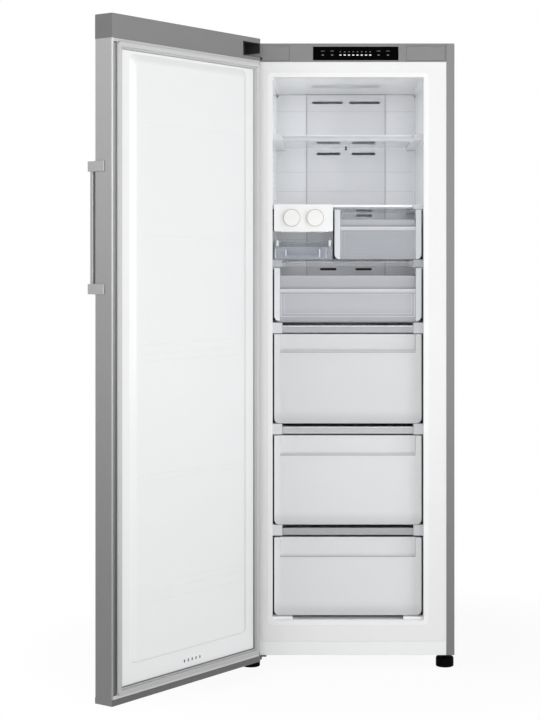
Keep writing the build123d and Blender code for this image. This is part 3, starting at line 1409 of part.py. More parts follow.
def door_nodes():
    """The door and its handle, swung open."""
    shut = {
        "door_skin": [door_skin()],
        "door_caps": [door_top_cap(), door_bottom_cap()],
        "door_liner": [door_liner()],
        "door_foam": [door_foam()],
        "door_gasket": [door_gasket(), magnet_ring()],
        "hinge_bushes": hinge_bushes(),
        "handle_bar": [handle_bar()],
        "handle_mounts": handle_mounts(),
    }
    return {name: swung(group(pieces)) for name, pieces in shut.items()}


def main():
    """Builds and writes every node."""
    os.makedirs("parts", exist_ok=True)
    for nodes in (cabinet_nodes(), cooling_nodes(), storage_nodes(), door_nodes()):
        for name, shape in nodes.items():
            save(name, shape)


if __name__ == "__main__":
    main()
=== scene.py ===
"""Upright freezer with its door open, finished and lit for a studio picture.

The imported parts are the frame. What needs a finer shape than they have is modelled here
with Blender's own operators, in metres and in the same frame, and every part gets a
procedural finish. X is to the right, Y to the back and Z up. The pieces of the door are
shaped as if it were shut and then turned open about its hinge.
"""

import json
import logging
import math
from dataclasses import dataclass, field, replace
from enum import Enum
from functools import cache
from typing import Callable

import bmesh
import bpy
from mathutils import Matrix, Vector


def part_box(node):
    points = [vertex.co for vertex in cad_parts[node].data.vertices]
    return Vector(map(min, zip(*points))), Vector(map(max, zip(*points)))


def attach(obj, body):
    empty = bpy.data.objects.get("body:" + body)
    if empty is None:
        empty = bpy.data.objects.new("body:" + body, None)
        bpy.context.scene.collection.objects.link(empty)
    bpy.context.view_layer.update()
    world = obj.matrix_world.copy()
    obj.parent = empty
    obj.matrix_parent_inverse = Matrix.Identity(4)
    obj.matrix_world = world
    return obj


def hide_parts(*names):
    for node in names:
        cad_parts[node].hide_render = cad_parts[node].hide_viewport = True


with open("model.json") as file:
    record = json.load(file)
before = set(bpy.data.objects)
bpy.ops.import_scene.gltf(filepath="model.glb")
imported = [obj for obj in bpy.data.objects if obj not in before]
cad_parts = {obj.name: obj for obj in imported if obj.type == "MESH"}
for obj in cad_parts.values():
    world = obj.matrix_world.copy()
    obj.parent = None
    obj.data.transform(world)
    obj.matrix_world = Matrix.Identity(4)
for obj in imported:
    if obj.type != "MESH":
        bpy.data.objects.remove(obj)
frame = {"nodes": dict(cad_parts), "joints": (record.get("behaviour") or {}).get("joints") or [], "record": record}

log = logging.getLogger("freezer")

MM = 0.001
# Places closer than this are one, and a direction with more than this along an axis
# counts as running along it.
MERGE = 0.00001
ALONG = 0.9
# Faces that turn less than the first angle are one flat, and edges over the second are sharp.
FLAT = math.radians(0.4)
SHARP = math.radians(35.0)
WHITE = (1.0, 1.0, 1.0, 1.0)
BLACK = (0.0, 0.0, 0.0, 1.0)
SMOOTHSTEP = {"interpolation_type": "SMOOTHSTEP"}
COLOURS = {"data_type": "RGBA"}
SLOTS: dict[str, str] = {
    entry["node"]: entry["material_slot"] for entry in frame["record"]["subparts"]
}

Span = tuple[float, float]
Triple = tuple[float, float, float]
Tree = bpy.types.NodeTree
Socket = bpy.types.NodeSocket


class Axis(Enum):
    """A direction of the shared frame that a piece is cut across."""

    X = (1.0, 0.0, 0.0)
    Z = (0.0, 0.0, 1.0)


class Pattern(Enum):
    """A finish's texture: its node, the output that is read and its own settings."""

    GRAIN = ("TexNoise", "Fac", {"Detail": 4.0})
    SPANGLE = ("TexVoronoi", "Color", {})
    CELLS = ("TexVoronoi", "Distance", {})
    TRACES = (
        "TexBrick", "Color",
        {"Color1": (0.2, 0.2, 0.2, 1), "Color2": (0.35, 0.35, 0.35, 1), "Mortar": WHITE},
    )


# ---- Shader nodes ----


def feed(target: bpy.types.Node, **inputs: object) -> None:
    """Links or sets a node's inputs, named with _ for a space."""
    for name, value in inputs.items():
        socket = target.inputs[name.replace("_", " ")]
        if isinstance(value, Socket):
            target.id_data.links.new(value, socket)
        else:
            socket.default_value = value


def node(tree: Tree, kind: str, settings: dict[str, str] | None = None,
         **inputs: object) -> bpy.types.Node:
    """Adds a shader node.

    Args:
        tree: The node tree that it goes into.
        kind: Its type, without ShaderNode.
        settings: Its own properties.
        inputs: What its inputs are fed with.

    Returns:
        The new node.
    """
    made = tree.nodes.new(f"ShaderNode{kind}")
    for name, value in (settings or {}).items():
        setattr(made, name, value)
    feed(made, **inputs)
    return made


def maths(tree: Tree, operation: str, first: Socket, second: Socket) -> Socket:
    """Adds a sum of two values, of whatever kind the operation says."""
    made = node(tree, "Math", {"operation": operation})
    tree.links.new(first, made.inputs[0])
    tree.links.new(second, made.inputs[1])
    return made.outputs[0]


def mix_surface(tree: Tree, factor: Socket, first: bpy.types.Node, second: bpy.types.Node,
                output: str = "Material Output") -> None:
    """Feeds the output with a mix of two shaders."""
    mix = node(tree, "MixShader", Fac=factor)
    tree.links.new(first.outputs[0], mix.inputs[1])
    tree.links.new(second.outputs[0], mix.inputs[2])
    tree.links.new(mix.outputs[0], tree.nodes[output].inputs["Surface"])


# ---- Finishes ----


@dataclass(frozen=True)
class Finish:
    """One surface: its colour, its gloss, and a fine texture at its real scale.

    grain is the texture's size in metres and how far it moves the colour, the roughness
    and the surface itself. stretch is how much finer it runs along each axis. The painted
    shade setting darkens the colour towards a lower edge, standing in for less light there:
    its height, how far up it reaches and its share.
    """

    name: str
    colour: Triple
    roughness: float
    grain: tuple[float, float, float, float]
    metallic: float = 0.0
    alpha: float = 1.0
    coat: float = 0.0
    glow: float = 0.0
    specular: float = 0.5
    # Painted shade towards a lower edge: its height, reach and share.
    painted_shade: Triple | None = None
    stretch: Triple = (1.0, 1.0, 1.0)
    pattern: Pattern = Pattern.GRAIN
    second: Triple | None = None

    def texture(self, tree: Tree) -> Socket:
        """Adds the texture on Object coordinates and gives its value, from 0 to 1."""
        kind, output, settings = self.pattern.value
        place = node(tree, "TexCoord").outputs["Object"]
        mapped = node(tree, "Mapping", Scale=self.stretch, Vector=place).outputs["Vector"]
        made = node(tree, kind, Vector=mapped, Scale=1.0 / self.grain[0], **settings)
        return made.outputs[output]

    def with_painted_shade(self, tree: Tree, colour: Socket) -> Socket:
        """Adds nodes that darken a colour towards the lower edge: painted shade."""
        low, reach, share = self.painted_shade
        place = node(tree, "TexCoord").outputs["Object"]
        height = node(tree, "SeparateXYZ", Vector=place).outputs["Z"]
        ramp = node(
            tree, "MapRange", SMOOTHSTEP, Value=height,
            From_Min=low, From_Max=low + reach, To_Min=share, To_Max=0.0,
        )
        mix = node(tree, "Mix", COLOURS, Factor=ramp.outputs["Result"], A=colour, B=BLACK)
        return mix.outputs["Result"]

    def make(self) -> bpy.types.Material:
        """Builds the material."""
        material = bpy.data.materials.new(self.name)
        material.use_nodes = True
        tree = material.node_tree
        size, mottle, uneven, relief = self.grain
        value = self.texture(tree)
        light = self.second or tuple(min(c * (1 + mottle), 1.0) for c in self.colour)
        dark = self.colour if self.second else tuple(c * (1 - mottle) for c in self.colour)
        mix = node(tree, "Mix", COLOURS, Factor=value, A=(*dark, 1), B=(*light, 1))
        colour = mix.outputs["Result"]
        if self.painted_shade:
            colour = self.with_painted_shade(tree, colour)
        spread = node(
            tree, "MapRange", Value=value, To_Min=max(self.roughness - uneven, 0.02),
            To_Max=min(self.roughness + uneven, 1.0),
        )
        bump = node(tree, "Bump", Strength=relief, Distance=size, Height=value)
        shader = tree.nodes["Principled BSDF"]
        feed(
            shader, Base_Color=colour, Metallic=self.metallic, Alpha=self.alpha,
            Coat_Weight=self.coat, Specular_IOR_Level=self.specular,
            Roughness=spread.outputs["Result"], Normal=bump.outputs["Normal"],
        )
        if self.glow:
            feed(shader, Emission_Color=(*self.colour, 1), Emission_Strength=self.glow)
        return material


@dataclass(frozen=True)
class ClearFinish(Finish):
    """Glass that lets lamps through, with faint clouding."""

    tint: Triple = (0.93, 0.95, 0.96)
    ior: float = 1.5

    def make(self) -> bpy.types.Material:
        """Builds the material and opens it for rays from lamps."""
        material = super().make()
        tree = material.node_tree
        shader = tree.nodes["Principled BSDF"]
        feed(shader, Transmission_Weight=1.0, IOR=self.ior)
        path = node(tree, "LightPath").outputs["Is Shadow Ray"]
        clear = node(tree, "BsdfTransparent", Color=(*self.tint, 1))
        mix_surface(tree, path, shader, clear)
        return material


BRUSHED = {"stretch": (1.0, 1.0, 0.02)}
MOULDED = (0.003, 0.012, 0.04, 0.02)
TRIM = (0.003, 0.02, 0.04, 0.02)
SLEEK = (0.003, 0.02, 0.04, 0.01)
FROST = (0.004, 0.015, 0.05, 0.02)
BIN = (0.006, 0.02, 0.04, 0.015)
CHEEK = (0.006, 0.015, 0.04, 0.015)
RAIL = (0.002, 0.03, 0.04, 0.02)
WALL = (0.004, 0.015, 0.04, 0.015)
SEAM = (0.002, 0.04, 0.05, 0.02)

# First the finishes of the record's slots, then those that only pieces made here use.
FINISHES: dict[str, Finish] = {finish.name: finish for finish in (
    Finish("grey_steel", (0.165, 0.165, 0.167), 0.38, (0.0012, 0.09, 0.07, 0.06), 0.3, **BRUSHED),
    Finish("grey_plastic", (0.206, 0.206, 0.209), 0.46, (0.0009, 0.04, 0.05, 0.05)),
    Finish("white_plastic", (0.86, 0.865, 0.87), 0.24, MOULDED),
    Finish("zinc_steel", (0.4, 0.41, 0.42), 0.42, (0.009, 0.12, 0.08, 0.02), 0.75,
           pattern=Pattern.SPANGLE),
    Finish("foam", (0.82, 0.7, 0.4), 0.85, (0.0014, 0.1, 0.05, 0.4), pattern=Pattern.CELLS),
    Finish("black_panel", (0.0006, 0.0006, 0.0007), 0.4, (0.02, 0.1, 0.02, 0.004), specular=0.01),
    Finish("circuit_board", (0.012, 0.09, 0.035), 0.4, (0.006, 0.2, 0.1, 0.1),
           pattern=Pattern.TRACES, second=(0.03, 0.2, 0.08)),
    ClearFinish("shelf_glass", (0.93, 0.96, 0.97), 0.03, (0.05, 0.01, 0.01, 0.002)),
    Finish("frosted_plastic", (0.7, 0.705, 0.716), 0.3, FROST, alpha=0.93),
    Finish("smoked_plastic", (0.42, 0.45, 0.51), 0.14, (0.01, 0.03, 0.03, 0.01), alpha=0.4),
    Finish("ice_tray_plastic", (0.87, 0.87, 0.86), 0.3, (0.003, 0.02, 0.05, 0.03)),
    Finish("sensor_plastic", (0.01, 0.01, 0.012), 0.35, (0.001, 0.1, 0.1, 0.05)),
    Finish("aluminium_coil", (0.6, 0.61, 0.63), 0.34, (0.002, 0.08, 0.08, 0.08), 0.9,
           stretch=(1.0, 0.05, 1.0)),
    Finish("heater_glass", (0.7, 0.62, 0.5), 0.2, (0.004, 0.05, 0.05, 0.03), alpha=0.8),
    Finish("dark_plastic", (0.012, 0.012, 0.013), 0.5, (0.0012, 0.15, 0.08, 0.15)),
    Finish("black_steel", (0.014, 0.014, 0.015), 0.3, (0.004, 0.12, 0.08, 0.05), coat=0.3),
    Finish("rubber", (0.02, 0.02, 0.02), 0.75, (0.001, 0.15, 0.08, 0.2)),
    Finish("copper", (0.72, 0.33, 0.18), 0.28, (0.003, 0.12, 0.1, 0.03), 0.95),
    # The seal's grey darkens towards the bottom of the door: painted shade.
    Finish("gasket_rubber", (0.6, 0.6, 0.605), 0.6, (0.0015, 0.03, 0.06, 0.08),
           specular=0.25, painted_shade=(0.05, 0.9, 0.24)),
    Finish("handle_metal", (0.44, 0.44, 0.445), 0.3, (0.0009, 0.1, 0.08, 0.08), 0.6, **BRUSHED),
    Finish("trim_white", (0.72, 0.745, 0.79), 0.18, TRIM, alpha=0.42),
    Finish("trim_clear", (0.6, 0.62, 0.66), 0.14, SLEEK, alpha=0.4),
    Finish("trim_pale", (0.72, 0.74, 0.78), 0.14, SLEEK, alpha=0.42),
    Finish("trim_milky", (0.62, 0.63, 0.655), 0.2, TRIM, alpha=0.7),
    Finish("trim_ghost", (0.6, 0.62, 0.66), 0.14, SLEEK, alpha=0.08),
    Finish("trim_dim", (0.46, 0.47, 0.48), 0.2, TRIM, alpha=0.8),
    Finish("rail_end", (0.6, 0.61, 0.63), 0.3, RAIL),
    # The same rail ends made darker, for shelf 3: painted shade.
    Finish("rail_end_painted_shade", (0.4, 0.41, 0.43), 0.3, RAIL),
    # A light strip for a glass shelf's front edge: painted highlight.
    Finish("glass_edge_highlight", (0.88, 0.9, 0.92), 0.12, (0.003, 0.02, 0.03, 0.01), coat=0.3),
    Finish("clear_drawer", (0.62, 0.635, 0.68), 0.16, BIN, alpha=0.6),
    Finish("pale_frosted", (0.76, 0.765, 0.776), 0.3, FROST, alpha=0.93),
    Finish("clear_grey_drawer", (0.46, 0.48, 0.52), 0.16, BIN, alpha=0.6),
    # Bright plastic for the clear drawers' solid cheeks, and on the ice bucket for its hangers and its painted
    # highlights.
    Finish("bright_cheek", (0.71, 0.735, 0.765), 0.24, CHEEK, alpha=0.96),
    # Lighter plastic for the painted highlight on the drawers' grip ledges, also used for drawer 2's panel beads.
    Finish("ledge_plastic", (0.68, 0.69, 0.72), 0.24, CHEEK, alpha=0.94),
    Finish("ledge_shadow", (0.3, 0.3, 0.315), 0.4, (0.002, 0.03, 0.05, 0.02)),
    # A lighter steel for the strip on the door's free edge: a painted highlight, darker towards the bottom as
    # painted shade.
    Finish("fold_painted_highlight", (0.6, 0.6, 0.605), 0.36, (0.0012, 0.06, 0.06, 0.04), 0.2,
           painted_shade=(0.05, 1.6, 0.5), **BRUSHED),
    # The door's bottom cap: its grey plastic made darker, as painted shade.
    Finish("bottom_cap_painted_shade", (0.1, 0.1, 0.102), 0.5, (0.0009, 0.06, 0.05, 0.05)),
    # The door's steel: lighter than the cabinet's, partly its own brighter finish and partly a painted sheen, and
    # darker towards the bottom as painted shade.
    Finish("door_steel", (0.465, 0.465, 0.468), 0.38, (0.0012, 0.07, 0.07, 0.06), 0.3,
           painted_shade=(0.05, 1.75, 0.51), **BRUSHED),
    # Dark grey for the strip on the door's free side: painted shadow cast by the seal, darker towards the bottom
    # as painted shade.
    Finish("flange_painted_shadow", (0.4, 0.4, 0.403), 0.6, (0.002, 0.04, 0.05, 0.04),
           specular=0.15, painted_shade=(0.05, 1.7, 0.62)),
    Finish("flange_grey", (0.6, 0.6, 0.605), 0.5, (0.002, 0.03, 0.05, 0.04), specular=0.3),
    # A darker grey for the thin ring inside the seal: painted contact shadow, darker towards the bottom as painted
    # shade.
    Finish("seal_contact_shadow", (0.42, 0.42, 0.423), 0.7, (0.001, 0.05, 0.05, 0.05),
           specular=0.1, painted_shade=(0.02, 1.3, 0.6)),
    Finish("hinge_zinc", (0.1, 0.1, 0.103), 0.45, (0.006, 0.15, 0.08, 0.03), 0.5),
    Finish("foot_black", (0.002, 0.002, 0.002), 0.6, (0.0012, 0.2, 0.08, 0.1), specular=0.02),
    # Near-black for strips in the gaps beside the drawers and the ice maker: painted shadow.
    Finish("gap_shadow_black", (0.01, 0.01, 0.011), 0.8, (0.0012, 0.15, 0.08, 0.1), specular=0.05),
    Finish("inner_plastic", (0.94, 0.945, 0.95), 0.09, (0.004, 0.012, 0.02, 0.012)),
    # The back wall and the duct cover: a cool white whose bluish tint is painted light, the colour of the
    # freezer's own lamp.
    Finish("back_wall", (0.92, 0.925, 0.955), 0.16, WALL),
    Finish("duct_wall", (0.8, 0.805, 0.84), 0.16, WALL),
    # The door's inside darkens slightly towards the bottom: painted shade.
    Finish("door_white", (0.86, 0.865, 0.87), 0.24, MOULDED, painted_shade=(0.1, 0.9, 0.08)),
    Finish("frame_white", (0.815, 0.815, 0.818), 0.26, MOULDED),
    Finish("lip_white", (0.87, 0.87, 0.873), 0.24, MOULDED),
    Finish("back_line", (0.4, 0.41, 0.45), 0.4, SEAM),
    Finish("back_faint", (0.66, 0.67, 0.71), 0.3, SEAM),
    Finish("display_faint", (0.15, 0.15, 0.16), 0.4, (0.001, 0.05, 0.05, 0.01)),
    Finish("display_mark", (0.75, 0.78, 0.8), 0.4, (0.001, 0.02, 0.05, 0.01), glow=0.35),
    Finish("slot_shadow", (0.03, 0.03, 0.032), 0.6, (0.002, 0.1, 0.1, 0.05)),
    Finish("ring_mark", (0.5, 0.455, 0.4), 0.4, (0.001, 0.05, 0.05, 0.03)),
)}

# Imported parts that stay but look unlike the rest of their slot.
NODE_FINISHES: dict[str, str] = {
    "inner_liner": "inner_plastic",
    "hinge_brackets": "hinge_zinc",
    "foot_left": "foot_black",
    "foot_right": "foot_black",
}


@cache
def material_of(finish: Finish) -> bpy.types.Material:
    """The material of a finish, built once."""
    return finish.make()


def dress(thing: bpy.types.Object, finish: Finish) -> None:
    """Gives an object a finish, and no other."""
    thing.data.materials.clear()
    thing.data.materials.append(material_of(finish))
    for polygon in thing.data.polygons:
        polygon.material_index = 0


# ---- Modelling ----


def deselect() -> None:
    """Leaves object mode with nothing selected."""
    if bpy.context.mode != "OBJECT":
        bpy.ops.object.mode_set(mode="OBJECT")
    bpy.ops.object.select_all(action="DESELECT")


def activate(thing: bpy.types.Object) -> None:
    """Selects this object alone and makes it active."""
    deselect()
    thing.select_set(True)
    bpy.context.view_layer.objects.active = thing


def limits(points: list[Vector]) -> tuple[Vector, Vector]:
    """The lowest and highest corner of the box round some points."""
    low = Vector([min(point[i] for point in points) for i in range(3)])
    return low, Vector([max(point[i] for point in points) for i in range(3)])


PlaceTest = Callable[[Vector, Vector], bool]


class Bench:
    """Shapes one piece with Blender's modelling operators."""

    def __init__(self, thing: bpy.types.Object) -> None:
        """Takes the object that is being shaped."""
        self.thing = thing

    @classmethod
    def block(cls, name: str, x: Span, y: Span, z: Span) -> "Bench":
        """Starts from a box between these limits."""
        deselect()
        spans = [Vector(span) for span in (x, y, z)]
        size = [high - low for low, high in spans]
        centre = [(high + low) / 2 for low, high in spans]
        bpy.ops.mesh.primitive_cube_add(size=1, location=centre, scale=size)
        return cls._named(name)

    @classmethod
    def drum(cls, name: str, centre: Vector, radius: float, length: float,
             sides: int) -> "Bench":
        """Starts from a cylinder along Y."""
        deselect()
        bpy.ops.mesh.primitive_cylinder_add(
            vertices=sides, radius=radius, depth=length, location=centre,
            rotation=(math.pi / 2, 0, 0),
        )
        return cls._named(name)

    @classmethod
    def _named(cls, name: str) -> "Bench":
        """Names the new primitive and applies its place."""
        thing = bpy.context.active_object
        thing.name = name
        thing.data.name = name
        bpy.ops.object.transform_apply(location=True, rotation=True, scale=True)
        return cls(thing)

    @classmethod
    def copy_of(cls, node_name: str, name: str) -> "Bench":
        """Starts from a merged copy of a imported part."""
        mesh = frame["nodes"][node_name].data.copy()
        mesh.materials.clear()
        thing = bpy.data.objects.new(name, mesh)
        bpy.context.scene.collection.objects.link(thing)
        activate(thing)
        bpy.ops.mesh.customdata_custom_splitnormals_clear()
        bpy.ops.object.mode_set(mode="EDIT")
        bpy.ops.mesh.select_all(action="SELECT")
        bpy.ops.mesh.remove_doubles(threshold=MERGE)
        bpy.ops.mesh.dissolve_limited(angle_limit=FLAT)
        bpy.ops.object.mode_set(mode="OBJECT")
        return cls(thing)

    def _edit(self, mode: str) -> bmesh.types.BMesh:
        """Enters edit mode with nothing selected."""
        if bpy.context.mode != "EDIT_MESH":
            activate(self.thing)
            bpy.ops.object.mode_set(mode="EDIT")
        bpy.ops.mesh.select_mode(type=mode)
        bpy.ops.mesh.select_all(action="DESELECT")
        return bmesh.from_edit_mesh(self.thing.data)

    def faces(self, test: PlaceTest) -> "Bench":
        """Selects the faces whose centre and normal pass the test."""
        for face in self._edit("FACE").faces:
            face.select_set(test(face.calc_center_median(), face.normal))
        bmesh.update_edit_mesh(self.thing.data)
        return self

    def edges(self, test: PlaceTest) -> "Bench":
        """Selects the edges whose middle and direction pass the test."""
        for edge in self._edit("EDGE").edges:
            a, b = edge.verts[0].co, edge.verts[1].co
            edge.select_set(test((a + b) / 2, (b - a).normalized()))
        bmesh.update_edit_mesh(self.thing.data)
        return self

    def vertices(self, test: Callable[[Vector], bool]) -> "Bench":
        """Selects the vertices whose place passes the test."""
        mesh = self._edit("VERT")
        for vertex in mesh.verts:
            vertex.select_set(test(vertex.co))
        mesh.select_flush_mode()
        bmesh.update_edit_mesh(self.thing.data)
        return self

    def bisect(self, axis: Axis, *places: float) -> "Bench":
        """Cuts new edges across the whole piece at these places along an axis."""
        for place in places:
            self._edit("FACE")
            bpy.ops.mesh.select_all(action="SELECT")
            bpy.ops.mesh.bisect(plane_co=Vector(axis.value) * place, plane_no=axis.value)
        return self

    def inset(self, thickness: float) -> "Bench":
        """Insets the selected faces."""
        bpy.ops.mesh.inset(thickness=thickness, depth=0)
        return self

    def extrude(self, offset: Vector) -> "Bench":
        """Extrudes the selected faces by an offset."""
        bpy.ops.mesh.extrude_region_move(TRANSFORM_OT_translate={"value": tuple(offset)})
        return self

    def shift(self, x: float = 0.0, y: float = 0.0, z: float = 0.0) -> "Bench":
        """Moves what is selected."""
        bpy.ops.transform.translate(value=(x, y, z))
        return self

    def bevel(self, width: float, segments: int = 3) -> "Bench":
        """Rounds the selected edges."""
        bpy.ops.mesh.bevel(offset=width, segments=segments, affect="EDGES")
        return self

    def through(self) -> "Bench":
        """Opens the piece between the two selected faces."""
        bpy.ops.mesh.bridge_edge_loops()
        return self

    def soften(self, width: float, segments: int = 2) -> "Bench":
        """Rounds every sharp edge a little and smooths the shading."""
        activate(self.thing)
        bevel = self.thing.modifiers.new("soft_edges", "BEVEL")
        bevel.width = width
        bevel.segments = segments
        bevel.limit_method = "ANGLE"
        bevel.angle_limit = SHARP
        bpy.ops.object.modifier_apply(modifier=bevel.name)
        return self.smooth()

    def smooth(self, angle: float = 40.0) -> "Bench":
        """Shades curved surfaces smooth and keeps flat ones flat."""
        activate(self.thing)
        bpy.ops.object.shade_smooth_by_angle(angle=math.radians(angle))
        weighted = self.thing.modifiers.new("flat_faces", "WEIGHTED_NORMAL")
        weighted.keep_sharp = True
        bpy.ops.object.modifier_apply(modifier=weighted.name)
        return self

    def join(self, *others: "Bench") -> "Bench":
        """Makes the other pieces part of this one."""
        activate(self.thing)
        for other in others:
            other.thing.select_set(True)
        bpy.ops.object.join()
        return self

    def repeat(self, *offsets: tuple[float, float]) -> "Bench":
        """Joins copies of the piece to it, moved by these steps along X and Z."""
        deselect()
        copies = []
        for x, z in offsets:
            mesh = self.thing.data.copy()
            mesh.transform(Matrix.Translation((x, 0.0, z)))
            copies.append(Bench(bpy.data.objects.new("copy", mesh)))
            bpy.context.scene.collection.objects.link(copies[-1].thing)
        return self.join(*copies)

    def loose_parts(self) -> list["Bench"]:
        """Takes the piece apart into its separate solids, from the top down."""
        activate(self.thing)
        bpy.ops.object.mode_set(mode="EDIT")
        bpy.ops.mesh.select_all(action="SELECT")
        bpy.ops.mesh.separate(type="LOOSE")
        bpy.ops.object.mode_set(mode="OBJECT")
        parts = [Bench(part) for part in bpy.context.selected_objects]
        return sorted(parts, key=lambda part: -part.box()[1].z)

    def box(self) -> tuple[Vector, Vector]:
        """The piece's lowest and highest corner."""
        return limits([vertex.co for vertex in self.thing.data.vertices])

    def turn(self, matrix: Matrix) -> "Bench":
        """Turns the mesh itself, so that the object stays at the origin."""
        deselect()
        self.thing.data.transform(matrix)
        return self

    def hand_over(self, finish: str | Finish, body: str = "cabinet",
                  slot: str = "white_plastic", *nodes: str) -> None:
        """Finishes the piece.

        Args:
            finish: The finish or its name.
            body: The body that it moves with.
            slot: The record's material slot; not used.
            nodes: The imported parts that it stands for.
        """
        deselect()
        dress(self.thing, FINISHES[finish] if isinstance(finish, str) else finish)
        if nodes:
            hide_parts(*nodes)
        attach(self.thing, body)
        log.info("made %s on %s", self.thing.name, body)


def merged(name: str, parts: list[Bench]) -> Bench:
    """The parts as one piece with this name."""
    parts[0].join(*parts[1:]).thing.name = name
    return parts[0]


def slab(name: str, x: Span, y: Span, z: Span, edge: float = 0.15 * MM) -> Bench:
    """A flat strip between these limits, with small soft edges."""
    return Bench.block(name, x, y, z).soften(edge)


def grown(spans: tuple[Span, Span], by: float) -> tuple[Span, Span]:
    """Both spans, longer at each end."""
    return tuple((low - by, high + by) for low, high in spans)


def frame_ring(name: str, y: Span, outer: tuple[Span, Span], inner: tuple[Span, Span],
               corner: float, edge: float) -> Bench:
    """A flat rectangular ring that faces along Y, with rounded corners and edges.

    Args:
        name: The piece's name.
        y: Its front and its back.
        outer: The ring's limits along X and Z.
        inner: The hole's limits along X and Z.
        corner: The radius of the outer corners.
        edge: The radius along the ring's edges.

    Returns:
        The bench with the ring on it.
    """
    ring = Bench.block(name, outer[0], y, outer[1])
    ring.bisect(Axis.X, *inner[0]).bisect(Axis.Z, *inner[1])
    ring.faces(
        lambda c, n: abs(n.y) > ALONG and inner[0][0] < c.x < inner[0][1]
        and inner[1][0] < c.z < inner[1][1]
    )
    ring.through()
    ring.edges(
        lambda c, d: abs(d.y) > ALONG
        and min(abs(c.x - end) for end in outer[0]) < MERGE
        and min(abs(c.z - end) for end in outer[1]) < MERGE
    )
    return ring.bevel(corner, 5).soften(edge)


def finish_copy(node_name: str, body: str, width: float, segments: int = 2,
                finish: str | Finish | None = None) -> None:
    """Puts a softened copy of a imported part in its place.

    Args:
        node_name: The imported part.
        body: The body that it moves with.
        width: The radius of its edges.
        segments: How many steps round an edge.
        finish: Its finish, where that isn't its slot's.
    """
    slot = SLOTS[node_name]
    copy = Bench.copy_of(node_name, f"{node_name}_finished").soften(width, segments)
    copy.hand_over(finish or slot, body, slot, node_name)


# ---- What the frame says ----


def joint(name: str) -> dict:
    """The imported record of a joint."""
    return next(entry for entry in frame["joints"] if entry["name"] == name)


@cache
def opening_turn() -> Matrix:
    """The turn that takes the shut door to where it stands open."""
    hinge = joint("door_hinge")
    pin = Matrix.Translation(Vector(hinge["pos_m"]))
    angle = math.radians(-hinge["range_deg"][0])
    return pin @ Matrix.Rotation(angle, 4, Vector(hinge["axis"])) @ pin.inverted()


@cache
def shut_box(node_name: str) -> tuple[Vector, Vector]:
    """The lowest and highest corner of a door part with the door shut."""
    back = opening_turn().inverted()
    return limits([back @ vertex.co for vertex in frame["nodes"][node_name].data.vertices])


# ---- Camera and studio ----


